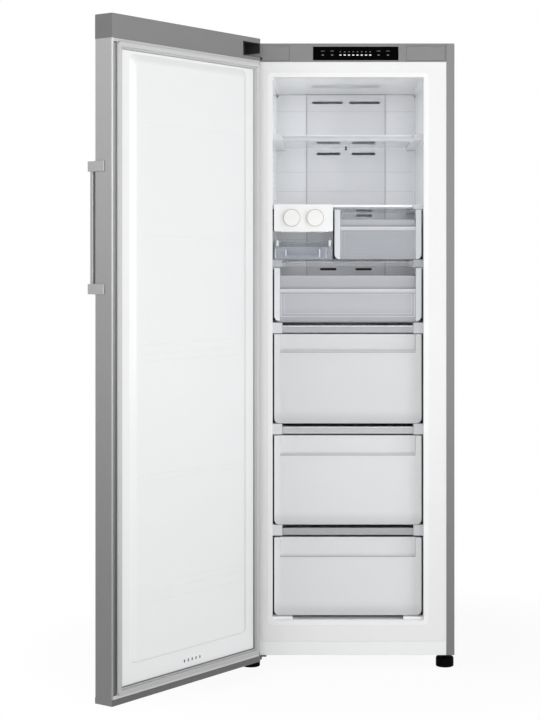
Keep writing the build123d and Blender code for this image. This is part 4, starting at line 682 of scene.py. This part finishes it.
@dataclass
class Studio:
    """The camera at the photograph's place, the floor and the soft light."""

    focal_px: float = 1681.05
    photo_px: tuple[int, int] = (540, 720)
    centre_px: Span = (325.2, 266.7)
    eye: Triple = (-0.0637, -4.9915, 1.1212)
    sensor: float = 36.0
    ambient: float = 0.24
    # Name, place, size and power of each large lamp, and what all of them point at.
    lamps: tuple[tuple[str, Triple, float, float], ...] = (
        ("front_lamp", (0.35, -4.4, 1.5), 3.4, 78.0),
        ("right_lamp", (3.4, -2.4, 1.6), 2.2, 62.0),
        ("left_lamp", (-3.4, -2.6, 3.0), 2.2, 24.0),
    )
    target: Triple = (0.0, 0.0, 0.95)
    # Place, width and height, power and turn of each lamp inside the compartments.
    inside: tuple[tuple[Triple, Span, float, float], ...] = (
        ((0.0, -0.26, 1.57), (0.32, 0.1), 0.045, 0.0),
        ((0.0, -0.26, 1.4), (0.32, 0.12), 0.035, 0.0),
        ((0.0, -0.1, 1.5), (0.3, 0.24), 0.22, 90.0),
        ((0.0, -0.1, 1.5), (0.3, 0.24), 0.19, -90.0),
        ((0.085, -0.2, 1.268), (0.22, 0.02), 0.085, 0.0),
        ((-0.125, -0.06, 1.208), (0.14, 0.018), 0.055, 0.0),
        ((0.0, -0.2, 1.111), (0.36, 0.024), 0.18, 0.0),
    )
    floor_half: float = 30.0
    floor_reach: Span = (0.45, 1.1)
    floor_white: float = 0.93
    floor_grey: tuple[float, float, float, float] = (0.92, 0.92, 0.92, 1)

    def camera(self) -> None:
        """Places the camera, level and looking straight back."""
        deselect()
        bpy.ops.object.camera_add(location=self.eye, rotation=(math.pi / 2, 0, 0))
        camera = bpy.context.active_object
        camera.name = "photo_camera"
        wide, high = self.photo_px
        camera.data.sensor_width = self.sensor
        camera.data.lens = self.focal_px * self.sensor / high
        camera.data.shift_x = (wide / 2 - self.centre_px[0]) / high
        camera.data.shift_y = (self.centre_px[1] - high / 2) / high
        camera.data.clip_end = 100.0
        bpy.context.scene.camera = camera

    def seen_white(self, tree: Tree) -> Socket:
        """Adds nodes that are 1 for camera, mirror and glass rays, else 0."""
        path = node(tree, "LightPath")
        result = path.outputs["Is Camera Ray"]
        for other in ("Is Glossy Ray", "Is Transmission Ray"):
            result = maths(tree, "MAXIMUM", result, path.outputs[other])
        return result

    def world(self) -> None:
        """Soft even light all round, and white where the studio itself is seen."""
        world = bpy.data.worlds.new("studio")
        bpy.context.scene.world = world
        world.use_nodes = True
        tree = world.node_tree
        soft = tree.nodes["Background"]
        feed(soft, Color=WHITE, Strength=self.ambient)
        white = node(tree, "Background", Color=WHITE, Strength=1.0)
        mix_surface(tree, self.seen_white(tree), soft, white, "World Output")

    def floor(self) -> None:
        """The pale floor, which keeps a faint shadow of the feet."""
        deselect()
        bpy.ops.mesh.primitive_plane_add(size=2 * self.floor_half, location=(0, 0, 0))
        floor = bpy.context.active_object
        floor.name = "studio_floor"
        material = bpy.data.materials.new("studio_floor")
        material.use_nodes = True
        tree = material.node_tree
        matt = tree.nodes["Principled BSDF"]
        feed(matt, Base_Color=self.floor_grey, Roughness=0.9, Specular_IOR_Level=0.0)
        white = node(tree, "Emission", Color=WHITE, Strength=1.0)
        place = node(tree, "TexCoord").outputs["Object"]
        reach = node(tree, "VectorMath", {"operation": "LENGTH"}, Vector=place)
        near, far = self.floor_reach
        rise = node(
            tree, "MapRange", SMOOTHSTEP, Value=reach.outputs["Value"],
            From_Min=near, From_Max=far, To_Min=self.floor_white, To_Max=1.0,
        )
        share = maths(tree, "MULTIPLY", self.seen_white(tree), rise.outputs["Result"])
        mix_surface(tree, share, matt, white)
        floor.data.materials.append(material)

    def lamp(self, name: str, place: Triple, turn: tuple | Vector, power: float) -> bpy.types.Object:
        """An area lamp at a place, turned and with its power."""
        deselect()
        bpy.ops.object.light_add(type="AREA", location=place, rotation=turn)
        light = bpy.context.active_object
        light.name = name
        light.data.energy = power
        return light

    def light(self) -> None:
        """The large soft lamps, and the small ones for the compartments' back and sides."""
        for name, place, size, power in self.lamps:
            way = Vector(self.target) - Vector(place)
            turn = way.to_track_quat("-Z", "Y").to_euler()
            self.lamp(name, place, turn, power).data.size = size
        for index, (place, size, power, heading) in enumerate(self.inside):
            turn = (math.pi / 2, 0, math.radians(heading))
            light = self.lamp(f"inside_lamp_{index + 1}", place, turn, power)
            light.data.shape = "RECTANGLE"
            light.data.size, light.data.size_y = size
            light.visible_camera = False
            light.visible_glossy = False
            light.visible_transmission = False

    def build(self) -> None:
        """Sets up the whole studio."""
        bpy.context.scene.view_settings.view_transform = "Standard"
        self.camera()
        self.world()
        self.floor()
        self.light()


# ---- Cabinet ----


@dataclass
class Cabinet:
    """The outside of the cabinet: its steel, its control bar and its base."""

    edges: dict[str, float] = field(default_factory=lambda: {
        "side_panels": 0.45 * MM, "control_bar": 0.8 * MM, "hinge_covers": 0.5 * MM,
        "toe_panel": 0.7 * MM, "rear_grille": 0.5 * MM,
    })
    opening: tuple[Span, Span] = ((-211.5 * MM, 211.5 * MM), (133.5 * MM, 1650.5 * MM))
    lip: float = 13.0 * MM
    screws: int = 6
    screw_in: float = 20.0 * MM
    screw_up: float = 60.0 * MM
    screw_size: Span = (4.8 * MM, 2.2 * MM)

    def back_screws(self) -> None:
        """A row of screws down each side of the steel back."""
        low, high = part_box("back_panel")
        place = Vector((low.x + self.screw_in, high.y - 0.4 * MM, low.z + self.screw_up))
        screw = Bench.drum("back_screws", place, *self.screw_size, 20)
        screw.faces(lambda c, n: n.y > ALONG).inset(1.8 * MM)
        screw.extrude(Vector((0, -0.7 * MM, 0))).soften(0.4 * MM)
        step = (high.z - low.z - 2 * self.screw_up) / (self.screws - 1)
        across = high.x - low.x - 2 * self.screw_in
        down = [(0.0, index * step) for index in range(self.screws)]
        screw.repeat(*down[1:], *[(across, z) for _, z in down])
        screw.hand_over("zinc_steel", "cabinet", "zinc_steel")

    def opening_lip(self) -> None:
        """The slightly raised band of the liner round the opening, and the frame's face."""
        low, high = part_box("inner_liner")
        rings = (
            ("opening_lip", "lip_white", 0.6 * MM, grown(self.opening, self.lip),
             16 * MM, 0.45 * MM),
            ("frame_face", "frame_white", 0.2 * MM,
             grown(((low.x, high.x), (low.z, high.z)), -0.2 * MM), 0.5 * MM, 0.1 * MM),
        )
        for name, finish, proud, outer, corner, edge in rings:
            y = (low.y - proud, low.y + 0.4 * MM)
            ring = frame_ring(name, y, outer, self.opening, corner, edge)
            ring.hand_over(finish)

    def build(self) -> None:
        """Builds the folded steel, the moulded strips, the opening's rings and the screws."""
        for node_name, width in self.edges.items():
            finish_copy(node_name, "cabinet", width)
        self.opening_lip()
        self.back_screws()


@dataclass
class Display:
    """The touch panel's printed marks."""

    dots: int = 8
    pitch: float = 11.9 * MM
    off_centre: float = -1.0 * MM
    keys: tuple[float, ...] = (-91.0 * MM, -65.0 * MM, 65.0 * MM, 91.0 * MM)
    # How far over the panel's middle each mark is, its width and height, in millimetres.
    lit: Triple = (-4.5, 5.6, 2.8)
    faint: Triple = (4.5, 3.4, 2.2)
    key: Triple = (-4.5, 5.5, 2.8)
    bar: Triple = (6.5, 9.5, 1.4)

    def row(self, name: str, places: tuple[float, ...], mark: Triple) -> Bench:
        """A row of like raised marks on the panel.

        Args:
            name: The piece's name.
            places: Where they stand beside the panel's middle.
            mark: One mark's height over the middle and its size.

        Returns:
            The bench with the whole row on it.
        """
        low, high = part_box("display_panel")
        x = (low.x + high.x) / 2 + self.off_centre + places[0]
        z = (low.z + high.z) / 2 + mark[0] * MM
        wide, tall = mark[1] * MM / 2, mark[2] * MM / 2
        y = (low.y - 0.15 * MM, low.y + 0.1 * MM)
        first = Bench.block(name, (x - wide, x + wide), y, (z - tall, z + tall))
        return first.repeat(*[(place - places[0], 0.0) for place in places[1:]])

    def build(self) -> None:
        """Makes eight lit marks, a faint row over them and faint keys at the sides."""
        dots = tuple((index - (self.dots - 1) / 2) * self.pitch for index in range(self.dots))
        lit = self.row("display_marks", dots, self.lit)
        lit.hand_over("display_mark", "cabinet", "black_panel")
        faint = self.row("display_faint_marks", dots, self.faint).join(
            self.row("keys", self.keys, self.key),
            self.row("bars", self.keys, self.bar),
        )
        faint.hand_over("display_faint", "cabinet", "black_panel")
        glass = Bench.copy_of("display_panel", "display_glass").soften(0.5 * MM)
        glass.hand_over("black_panel", "cabinet", "black_panel", "display_panel")


# ---- Shelves ----


@dataclass
class Shelves:
    """The front trims of the glass shelves and the hanger in the middle."""

    edge: float = 1.2 * MM
    inset: float = 1.5 * MM
    finishes: tuple[str, ...] = (
        "trim_white", "trim_clear", "trim_ghost", "trim_pale", "trim_milky", "trim_dim",
    )
    # Height of each bright glass edge that shows, drawn as a light strip that is a painted highlight, by the
    # shelf's number from the top.
    lines: dict[int, float] = field(
        default_factory=lambda: {1: 2.6 * MM, 2: 6.2 * MM, 4: 2.2 * MM, 5: 1.6 * MM}
    )
    # How far each shelf's rail ends reach below and above its trim, in millimetres.
    rails: tuple[Span, ...] = (
        (3.5, 3.0), (-0.3, 0.0), (-1.0, 4.0), (-1.5, 8.5), (-1.5, 8.5), (-1.5, 8.5),
    )
    rail_x: Span = (184.2 * MM, 210.7 * MM)

    def trim(self, part: Bench, shelf: int) -> None:
        """Finishes one trim, a light strip as a painted highlight on its glass's front edge, and its duller rail
        ends, darker on shelf 3 as painted shade.
        """
        part.thing.name = f"shelf_trim_{shelf}"
        low, high = part.box()
        nodes = ("shelf_trims",) if shelf == 1 else ()
        part.soften(self.edge)
        part.hand_over(self.finishes[shelf - 1], "cabinet", "white_plastic", *nodes)
        if shelf in self.lines:
            line = slab(
                f"shelf_glass_highlight_{shelf}", (low.x + self.inset, high.x - self.inset),
                (low.y - 0.2 * MM, low.y + 2 * self.inset),
                (high.z - self.lines[shelf], high.z), 0.4 * MM,
            )
            line.hand_over("glass_edge_highlight")
        below, above = self.rails[shelf - 1]
        near, far = self.rail_x
        ends = slab(
            f"rail_ends_{shelf}", (-far, -near), (low.y - 0.35 * MM, low.y + 0.3 * MM),
            (low.z + below * MM, high.z + above * MM),
        )
        # Shelf 3's rail ends are darker: painted shade.
        finish = "rail_end_painted_shade" if shelf == 3 else "rail_end"
        ends.repeat((near + far, 0.0)).hand_over(finish)

    def build(self) -> None:
        """Takes the trims apart and finishes each."""
        shelf = 0
        for part in Bench.copy_of("shelf_trims", "shelf_trims_copy").loose_parts():
            low, high = part.box()
            if high.y - low.y > 0.1:
                part.thing.name = "centre_rail"
                part.soften(0.5 * MM).hand_over("trim_clear")
                continue
            shelf += 1
            self.trim(part, shelf)


# ---- Air duct ----


@dataclass
class AirDuct:
    """The back wall's own details."""

    edge: float = 0.9 * MM
    seam: float = 1.9 * MM
    heights: tuple[float, ...] = (1.598, 1.412, 1.352, 1.205)
    # Height, inner and outer half-distance of the air slots whose insides get painted shade, in millimetres.
    shaded: tuple[Triple, ...] = ((1113.0, 29.4, 79.6), (929.5, 70.4, 97.6))

    def slot_shades(self) -> None:
        """Dark slabs inside the two lowest pairs of air slots: painted shade."""
        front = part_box("air_duct_cover")[0].y
        made = []
        for height, inner, outer in self.shaded:
            z = ((height - 3.7) * MM, (height + 3.7) * MM)
            shade = slab("shade", (-outer * MM, -inner * MM),
                         (front + 0.3 * MM, front + 0.9 * MM), z)
            made.append(shade.repeat(((inner + outer) * MM, 0.0)))
        merged("air_slot_shades", made).hand_over("slot_shadow", "cabinet", "dark_plastic")

    def seams(self) -> None:
        """The long seams beside the duct and the faint ones across the back wall."""
        low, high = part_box("air_duct_cover")
        wall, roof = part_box("evaporator_cover")
        y = (low.y - 0.3 * MM, low.y + 0.4 * MM)
        x = (-high.x - self.seam / 2, -high.x + self.seam / 2)
        long = slab("duct_side_seams", x, y, (low.z, high.z - MM))
        long.repeat((2 * high.x, 0.0)).hand_over("back_line")
        faint = []
        z = (self.heights[0] - 0.6 * MM, self.heights[0] + 0.6 * MM)
        for x, front in (
            ((low.x + 2 * MM, high.x - 2 * MM), low.y),
            ((wall.x + 2 * MM, low.x - MM), wall.y),
            ((high.x + MM, roof.x - 2 * MM), wall.y),
        ):
            faint.append(slab("seam", x, (front - 0.3 * MM, front + 0.4 * MM), z))
        across = merged("back_wall_seams", faint)
        across.repeat(*[(0.0, height - self.heights[0]) for height in self.heights[1:]])
        across.hand_over("back_faint")

    def corners(self) -> None:
        """The strips that close the back wall's panel to the side walls."""
        wall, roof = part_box("evaporator_cover")
        strip = slab(
            "back_wall_corner_strips", (wall.x - 1.6 * MM, wall.x + 0.6 * MM),
            (wall.y - 0.1 * MM, wall.y + 1.5 * MM), (wall.z + 2 * MM, roof.z - 8 * MM),
        )
        strip.repeat((roof.x - wall.x + MM, 0.0))
        strip.hand_over("back_wall")

    def build(self) -> None:
        """The duct's cover and the back wall, in a cooler white whose bluish tint is painted light from the
        freezer's own lamp.
        """
        finish_copy("air_duct_cover", "cabinet", self.edge, finish="duct_wall")
        finish_copy("evaporator_cover", "cabinet", self.edge, finish="back_wall")
        self.slot_shades()
        self.seams()
        self.corners()


# ---- Drawers ----


@dataclass
class Drawers:
    """The five drawers: clear ones at the top, frosted ones below."""

    looks: tuple[str, ...] = (
        "clear_drawer", "clear_drawer", "frosted_plastic", "pale_frosted", "pale_frosted",
    )
    clear: tuple[int, ...] = (1, 2)
    bead: float = 1.4 * MM
    bead_rise: float = 0.6 * MM
    side_margin: float = 19.0 * MM
    low_margin: float = 12.0 * MM
    inner_step: float = 9.0 * MM
    # Heights of the lighter strip on the grip's ledge, a painted highlight that is taller on the clear drawers,
    # and of the dark strip under it, a painted shadow.
    ledge: float = 1.6 * MM
    clear_ledge: float = 9.5 * MM
    shade: float = 2.0 * MM
    gap: float = 3.4 * MM
    cheek: float = 16.6 * MM
    # How far up from each front's lower edge its painted shade reaches, and how dark it gets.
    painted_shade_reach: float = 42.0 * MM
    painted_shade_share: float = 0.2

    def grip_height(self, number: int) -> float:
        """The height of the grip's ledge, from the stated finger opening."""
        openings = frame["record"]["physics"]["openings"]
        entry = next(o for o in openings if o["name"] == f"drawer_{number}_grip")
        return entry["box_m"][0][2] - 7 * MM

    def front_details(self, number: int, finish: Finish) -> None:
        """The two panel frames, a lighter strip on the grip's ledge as a painted highlight, and a dark strip under
        it as painted shadow in place of a groove.
        """
        body = f"drawer_{number}"
        low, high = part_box(f"{body}_front")
        top = self.grip_height(number)
        y = (low.y - self.bead_rise, low.y + 0.4 * MM)
        rings = []
        for index, step in enumerate((0.0, self.inner_step)):
            side = self.side_margin + step
            outer = (
                (low.x + side, high.x - side),
                (low.z + self.low_margin + step, top - 5 * MM - step),
            )
            inner = grown(outer, -self.bead * (1.0 - 0.4 * index))
            rings.append(frame_ring("ring", y, outer, inner, 6 * MM, 0.3 * MM))
        beads = "ledge_plastic" if number == 2 else finish
        merged(f"{body}_panel_beads", rings).hand_over(beads, body, "frosted_plastic")
        x = (low.x + 17 * MM, high.x - 17 * MM)
        under = top - (self.clear_ledge if number in self.clear else self.ledge)
        # A lighter strip along the ledge: painted highlight where its top catches the light.
        ledge = slab(f"{body}_ledge", x, y, (under, top + 0.6 * MM), 0.3 * MM)
        ledge.hand_over("ledge_plastic", body, "frosted_plastic")
        y = (y[0] + 0.1 * MM, y[1] + 0.1 * MM)
        # A dark strip under the ledge: painted shadow of a groove.
        shade = slab(f"{body}_ledge_painted_shadow", x, y, (under - self.shade, under), 0.3 * MM)
        shade.hand_over("ledge_shadow", body, "frosted_plastic")

    def grey_panel(self, number: int) -> None:
        """The greyer panel under the grip of the small drawer."""
        body = f"drawer_{number}"
        low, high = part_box(f"{body}_front")
        top = self.grip_height(number) - self.clear_ledge - self.shade
        panel = slab(
            f"{body}_grey_panel", (low.x + 17 * MM, high.x - 22 * MM),
            (low.y - 0.3 * MM, low.y + 0.5 * MM), (low.z + 5 * MM, top), 0.3 * MM,
        )
        panel.hand_over("clear_grey_drawer", body, "frosted_plastic")

    def cheeks(self, number: int) -> None:
        """The bright solid cheeks at both ends of a clear drawer's front."""
        body = f"drawer_{number}"
        low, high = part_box(f"{body}_front")
        margin = 0.3 * MM
        y = (low.y - 0.25 * MM, low.y + 2.6 * MM)
        z = (low.z + 0.6 * MM, high.z - 0.4 * MM)
        made = []
        for x, outside in (
            ((low.x + margin, low.x + self.cheek - margin), low.x + margin),
            ((high.x - self.cheek + margin, high.x - margin), high.x - margin),
        ):
            cheek = Bench.block("cheek", x, y, z)
            cheek.edges(
                lambda c, d: abs(d.y) > ALONG and abs(c.x - outside) < MERGE
                and c.z < low.z + 5 * MM
            )
            made.append(cheek.bevel(13.5 * MM, 7).soften(1.0 * MM, 3))
        merged(f"{body}_cheeks", made).hand_over("bright_cheek", body, "frosted_plastic")

    def gap_shadow_strips(self, node_name: str, body: str) -> None:
        """Dark strips behind a front, so that the gaps beside it read dark: painted shadow."""
        low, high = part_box(node_name)
        strips = slab(
            f"{body}_gap_shadow_strips", (low.x - self.gap, low.x + 2 * MM),
            (high.y + 0.2 * MM, high.y + 1.4 * MM), (low.z + MM, high.z - 3 * MM), 0.4 * MM,
        )
        strips.repeat((high.x - low.x + self.gap - 2 * MM, 0.0))
        strips.hand_over("gap_shadow_black", body, "dark_plastic")

    def build(self) -> None:
        """Builds each drawer's front, its details and its bin."""
        for number, look in enumerate(self.looks, 1):
            body = f"drawer_{number}"
            front = f"{body}_front"
            # Each front darkens towards its lower edge: painted shade.
            painted_shade = (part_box(front)[0].z, self.painted_shade_reach, self.painted_shade_share)
            with_painted_shade = replace(FINISHES[look], name=f"{body}_{look}", painted_shade=painted_shade)
            finish_copy(front, body, 1.6 * MM, 3, with_painted_shade)
            finish_copy(f"{body}_bin", body, 0.7 * MM, finish=look)
            self.front_details(number, with_painted_shade)
            self.gap_shadow_strips(front, body)
            if number in self.clear:
                self.cheeks(number)
            if number == 1:
                self.grey_panel(number)


# ---- Ice maker ----


@dataclass
class IceMaker:
    """The twist ice maker and the bucket under it."""

    ring: float = 1.7 * MM
    ring_radius: float = 24.3 * MM
    ring_depth: float = 3.0 * MM
    ring_in: float = 4.5 * MM
    # Left and right edge and lower and upper edge of each bright mark on the bucket: the first two are its white
    # hangers, the other four painted highlights on edges of its front.
    marks: tuple[tuple[float, float, float, float], ...] = (
        (-200.5, -194.0, 1178.5, 1195.0), (-54.0, -47.5, 1178.5, 1195.0),
        (-175.2, -172.6, 1150.0, 1170.0), (-81.2, -77.8, 1148.0, 1171.0),
        (-204.0, -202.6, 1146.0, 1172.0), (-62.0, -60.6, 1146.0, 1172.0),
    )

    def knob_ring(self, side: str) -> None:
        """A thin tan ring round a flat white knob, on the front of its tray."""
        tray = f"ice_tray_{side}"
        pin = joint(f"{tray}_twist")["pos_m"]
        centre = Vector((pin[0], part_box(tray)[0].y + self.ring_in, pin[2]))
        ring = Bench.drum(f"{tray}_ring", centre, self.ring_radius, self.ring_depth, 72)
        ring.faces(lambda c, n: abs(n.y) > ALONG).inset(self.ring)
        ring.faces(lambda c, n: abs(n.y) > ALONG and (c - centre).length < 10 * MM)
        ring.through().smooth(30).hand_over("ring_mark", tray, "ice_tray_plastic")

    def build(self) -> None:
        """Builds the rings, the softened housing and the clear bucket."""
        for side in ("left", "right"):
            self.knob_ring(side)
        finish_copy("ice_maker_housing", "ice_maker", 0.8 * MM)
        low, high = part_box("ice_maker_housing")
        # A dark strip in the gap beside the ice maker: painted shadow.
        side = slab("ice_maker_gap_shadow_strip", (low.x - 3.4 * MM, low.x + MM),
                    (low.y + 16 * MM, low.y + 17.2 * MM), (low.z + MM, high.z - 2 * MM))
        side.hand_over("gap_shadow_black", "ice_maker", "dark_plastic")
        finish_copy("ice_bucket", "ice_bucket", 0.7 * MM)
        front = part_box("ice_bucket")[0].y
        made = [
            slab("mark", (x0 * MM, x1 * MM), (front - 0.3 * MM, front + 0.8 * MM),
                 (z0 * MM, z1 * MM), 0.4 * MM)
            for x0, x1, z0, z1 in self.marks
        ]
        bright = merged("ice_bucket_hangers_and_highlights", made)
        bright.hand_over("bright_cheek", "ice_bucket", "smoked_plastic")


# ---- Door ----


@dataclass
class Door:
    """The open door: its skin, its caps, its moulded inside, its seal and its handle."""

    plate: float = 2.0 * MM
    field_corner: float = 14.0 * MM
    field_round: float = 5.0 * MM
    groove: float = 1.2 * MM
    groove_margin: float = 24.0 * MM
    groove_end: float = 3.0 * MM
    groove_half: float = 1.6 * MM
    groove_heights: tuple[float, ...] = (
        1.478, 1.200, 0.925, 0.904, 0.882, 0.593, 0.579, 0.314, 0.293, 0.270,
    )
    field_side: float = 80.0 * MM
    ramp: float = 22.0 * MM
    field_low: float = 126.0 * MM
    field_under_seal: float = 42.0 * MM
    slot_count: int = 5
    slot_height: float = 93.0 * MM
    slot_half: Span = (2.1 * MM, 3.8 * MM)
    slot_span: Span = (274.0 * MM, 336.0 * MM)
    fold: float = 2.4 * MM
    cap_end: float = 15.2 * MM
    notch_reach: float = 75.0 * MM
    notch_deep: float = 52.0 * MM
    arm_room: float = 12.0 * MM
    notch_height: Span = (8.4 * MM, 47.4 * MM)

    @staticmethod
    def hang(piece: Bench, finish: str, slot: str, *nodes: str) -> None:
        """Turns a piece that was shaped with the door shut, and hands it over."""
        piece.turn(opening_turn()).hand_over(finish, "door", slot, *nodes)

    def skin(self) -> None:
        """The steel skin, its long inner edges folded round a soft radius."""
        low, high = shut_box("door_skin")
        skin = Bench.copy_of("door_skin", "door_skin_finished").turn(opening_turn().inverted())
        skin.edges(
            lambda c, d: abs(d.z) > ALONG
            and min(abs(c.x - low.x), abs(c.x - high.x)) < MERGE
            and min(abs(c.y - low.y), abs(c.y - high.y)) < MERGE
        )
        self.hang(skin.bevel(self.fold, 5).soften(0.3 * MM), "door_steel", "grey_steel", "door_skin")

    def fold_painted_highlight(self) -> None:
        """A lighter strip on the steel's rounded turn along the door's free edge: a painted highlight, darker
        towards the bottom as painted shade.
        """
        low, high = shut_box("door_skin")
        proud = 0.03 * MM
        fold = Bench.block(
            "door_fold_painted_highlight", (high.x - 4.6 * MM, high.x + proud),
            (high.y - 2.6 * MM, high.y + proud), (low.z + 0.5 * MM, high.z - 0.5 * MM),
        )
        fold.edges(
            lambda c, d: abs(d.z) > ALONG and c.x > high.x - MERGE and c.y > high.y - MERGE
        )
        self.hang(fold.bevel(self.fold, 6).smooth(60), "fold_painted_highlight", "grey_steel")

    def caps(self) -> None:
        """The grey top cap, and the bottom cap in a darker grey: the same plastic, darker as painted shade."""
        top, bottom = Bench.copy_of("door_caps", "door_cap").loose_parts()
        top.thing.name = "door_top_cap"
        bottom.thing.name = "door_bottom_cap"
        top.soften(1.2 * MM).hand_over("grey_plastic", "door", "grey_plastic", "door_caps")
        bottom.soften(1.0 * MM).hand_over("bottom_cap_painted_shade", "door", "grey_plastic")
        low, high = shut_box("door_skin")
        end = slab("door_bottom_corner", (high.x - 0.6 * MM, high.x + 0.1 * MM),
                   (low.y + 0.4 * MM, high.y - 0.4 * MM), (low.z - self.cap_end, low.z))
        self.hang(end, "door_steel", "grey_steel")

    def notch(self) -> None:
        """Dark sheets on the walls of the hinge notch in the top cap: painted shade."""
        low, high = shut_box("door_skin")
        floor, roof = (high.z + height for height in self.notch_height)
        start, end = low.x + MM, low.x + self.notch_reach
        back, front = high.y - self.notch_deep, high.y - 2 * MM
        thick = 0.35 * MM
        side = low.x + 0.5 * MM
        walls = [Bench.block("wall", *spans) for spans in (
            ((start, end), (back, back + thick), (floor, roof)),
            ((end - thick, end), (back, front), (floor, roof)),
            ((start, end), (back, front), (roof - thick, roof)),
            ((side, side + thick), (back, high.y - MM), (floor + self.arm_room, roof)),
        )]
        self.hang(merged("door_notch_painted_shade", walls), "slot_shadow", "grey_plastic")

    def inside(self) -> None:
        """The white inside: a flat plate with a raised field and its cross grooves."""
        low, high = shut_box("door_liner")
        plate = slab("plate", (low.x, high.x), (low.y, low.y + self.plate), (low.z, high.z), 0.5 * MM)
        x = shut_box("door_skin")[1].x - self.field_side + self.ramp
        top = shut_box("door_gasket")[1].z - self.field_under_seal + self.ramp
        raised = Bench.block("door_liner_moulded", (-x, x), (low.y, high.y), (self.field_low, top))
        raised.edges(lambda c, d: abs(d.y) > ALONG).bevel(self.field_corner, 6)
        for side in (-1, 1):
            raised.vertices(lambda c: c.y > high.y - MERGE and side * c.x > 0)
            raised.shift(x=-side * self.ramp)
        raised.vertices(lambda c: c.y > high.y - MERGE and c.z > (high.z + low.z) / 2)
        raised.shift(z=-self.ramp)
        raised.edges(lambda c, d: abs(d.y) < 0.1 and c.y > high.y - MERGE).bevel(self.field_round, 5)
        reach = x - self.ramp - self.groove_margin
        for height in self.groove_heights:
            raised.bisect(Axis.Z, height - self.groove_half, height, height + self.groove_half)
        end = reach + self.groove_end
        raised.bisect(Axis.X, -end, -reach, reach, end)
        raised.vertices(
            lambda c: abs(c.x) < reach + MERGE and c.y > high.y - MERGE
            and any(abs(c.z - height) < MERGE for height in self.groove_heights)
        )
        raised.shift(y=-self.groove).smooth(30).join(plate)
        self.hang(raised, "door_white", "white_plastic", "door_liner")

    def foam(self) -> None:
        """The foam behind the field, drawn in where the field's top slopes."""
        foam = Bench.copy_of("door_foam", "door_foam_finished").turn(opening_turn().inverted())
        _, high = foam.box()
        foam.vertices(lambda c: c.y > high.y - 5 * MM and c.z > high.z / 2)
        self.hang(foam.shift(z=-self.ramp).smooth(30), "foam", "foam", "door_foam")

    def slots(self) -> None:
        """The row of small slots under the field, drawn as flat dark marks: painted shade in place of open slots.
        """
        near, far = self.slot_span
        x = shut_box("door_skin")[1].x - near
        face = shut_box("door_liner")[0].y + self.plate
        wide, tall = self.slot_half
        slot = Bench.block(
            "door_drain_slot_shades", (x - wide, x + wide), (face - 0.3 * MM, face + 0.25 * MM),
            (self.slot_height - tall, self.slot_height + tall),
        )
        slot.edges(lambda c, d: abs(d.y) > ALONG).bevel(1.6 * MM, 4)
        step = (near - far) / (self.slot_count - 1)
        slot.repeat(*[(index * step, 0.0) for index in range(1, self.slot_count)])
        self.hang(slot, "slot_shadow", "white_plastic")

    def seal_ring(self, name: str, out: float, wide: float, rise: Span, edge: float) -> Bench:
        """One ring of the seal, with the door shut.

        Args:
            name: The piece's name.
            out: How far it is set in from the seal's outside, in millimetres.
            wide: The width of its band, in millimetres.
            rise: Where it begins and ends above the liner.
            edge: The radius along its edges, in millimetres.

        Returns:
            The bench with the ring on it.
        """
        low, high = shut_box("door_gasket")
        outer = grown(((low.x, high.x), (low.z, high.z)), -out * MM)
        y = (low.y + rise[0], low.y + rise[1])
        corner = max(10 - out, 3) * MM
        return frame_ring(name, y, outer, grown(outer, -wide * MM), corner, edge * MM)

    def seal(self) -> None:
        """The magnetic seal: an undercut foot, a round magnet pocket and a soft inner lip."""
        low, high = shut_box("door_gasket")
        tall = high.y - low.y
        foot = self.seal_ring("door_seal", 4.5, 9.0, (0.0, 4.2 * MM), 0.6)
        foot.join(
            self.seal_ring("pocket", 0.0, 12.4, (3.8 * MM, tall), 1.7),
            self.seal_ring("lip", 13.0, 3.0, (0.0, tall - 2.6 * MM), 0.9),
        )
        self.hang(foot, "gasket_rubber", "gasket_rubber", "door_gasket")

    def flange(self) -> None:
        """The strips between the steel and the seal, the one on the free side dark as painted shadow cast by the
        seal, and a thin darker ring inside the seal as painted contact shadow.
        """
        low, high = shut_box("door_liner")
        seal_low, seal_high = shut_box("door_gasket")
        y = (low.y + 1.0 * MM, low.y + 2.3 * MM)
        x = (low.x + MM, high.x - MM)
        z = (seal_low.z, seal_high.z)
        foot = 4.2 * MM
        free = (seal_high.x - foot, shut_box("door_skin")[1].x - 5.2 * MM)
        # The free side's strip is dark: painted shadow cast by the seal.
        self.hang(slab("door_flange_free_side", free, y, z), "flange_painted_shadow", "white_plastic")
        edges = [
            slab("strip", (x[0], seal_low.x + foot), y, z),
            slab("strip", x, y, (low.z + 0.4 * MM, seal_low.z + foot)),
            slab("strip", x, y, (seal_high.z - foot, high.z - 0.4 * MM)),
        ]
        self.hang(merged("door_flanges", edges), "flange_grey", "white_plastic")
        # A thin darker ring just inside the seal: painted contact shadow.
        fold = self.seal_ring("door_seal_contact_shadow", 15.8, 2.2, (0.2 * MM, 2.6 * MM), 0.3)
        self.hang(fold, "seal_contact_shadow", "gasket_rubber")

    def build(self) -> None:
        """Builds the door and its handle."""
        self.skin()
        self.fold_painted_highlight()
        self.caps()
        self.notch()
        for node_name in ("handle_bar", "handle_mounts"):
            finish_copy(node_name, "door", 1.2 * MM, 3)
        self.inside()
        self.foam()
        self.slots()
        self.flange()
        self.seal()


# ---- Everything ----


def dress_parts() -> None:
    """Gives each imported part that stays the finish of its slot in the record."""
    for node_name, slot in SLOTS.items():
        dress(frame["nodes"][node_name], FINISHES[NODE_FINISHES.get(node_name, slot)])


def main() -> None:
    """Builds the scene in order."""
    logging.basicConfig(level=logging.INFO, format="%(message)s")
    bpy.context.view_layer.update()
    dress_parts()
    Studio().build()
    for assembly in (Cabinet(), Display(), Shelves(), AirDuct(), Drawers(), IceMaker(), Door()):
        log.info("building %s", type(assembly).__name__)
        assembly.build()
    deselect()


if __name__ == "__main__":
    main()
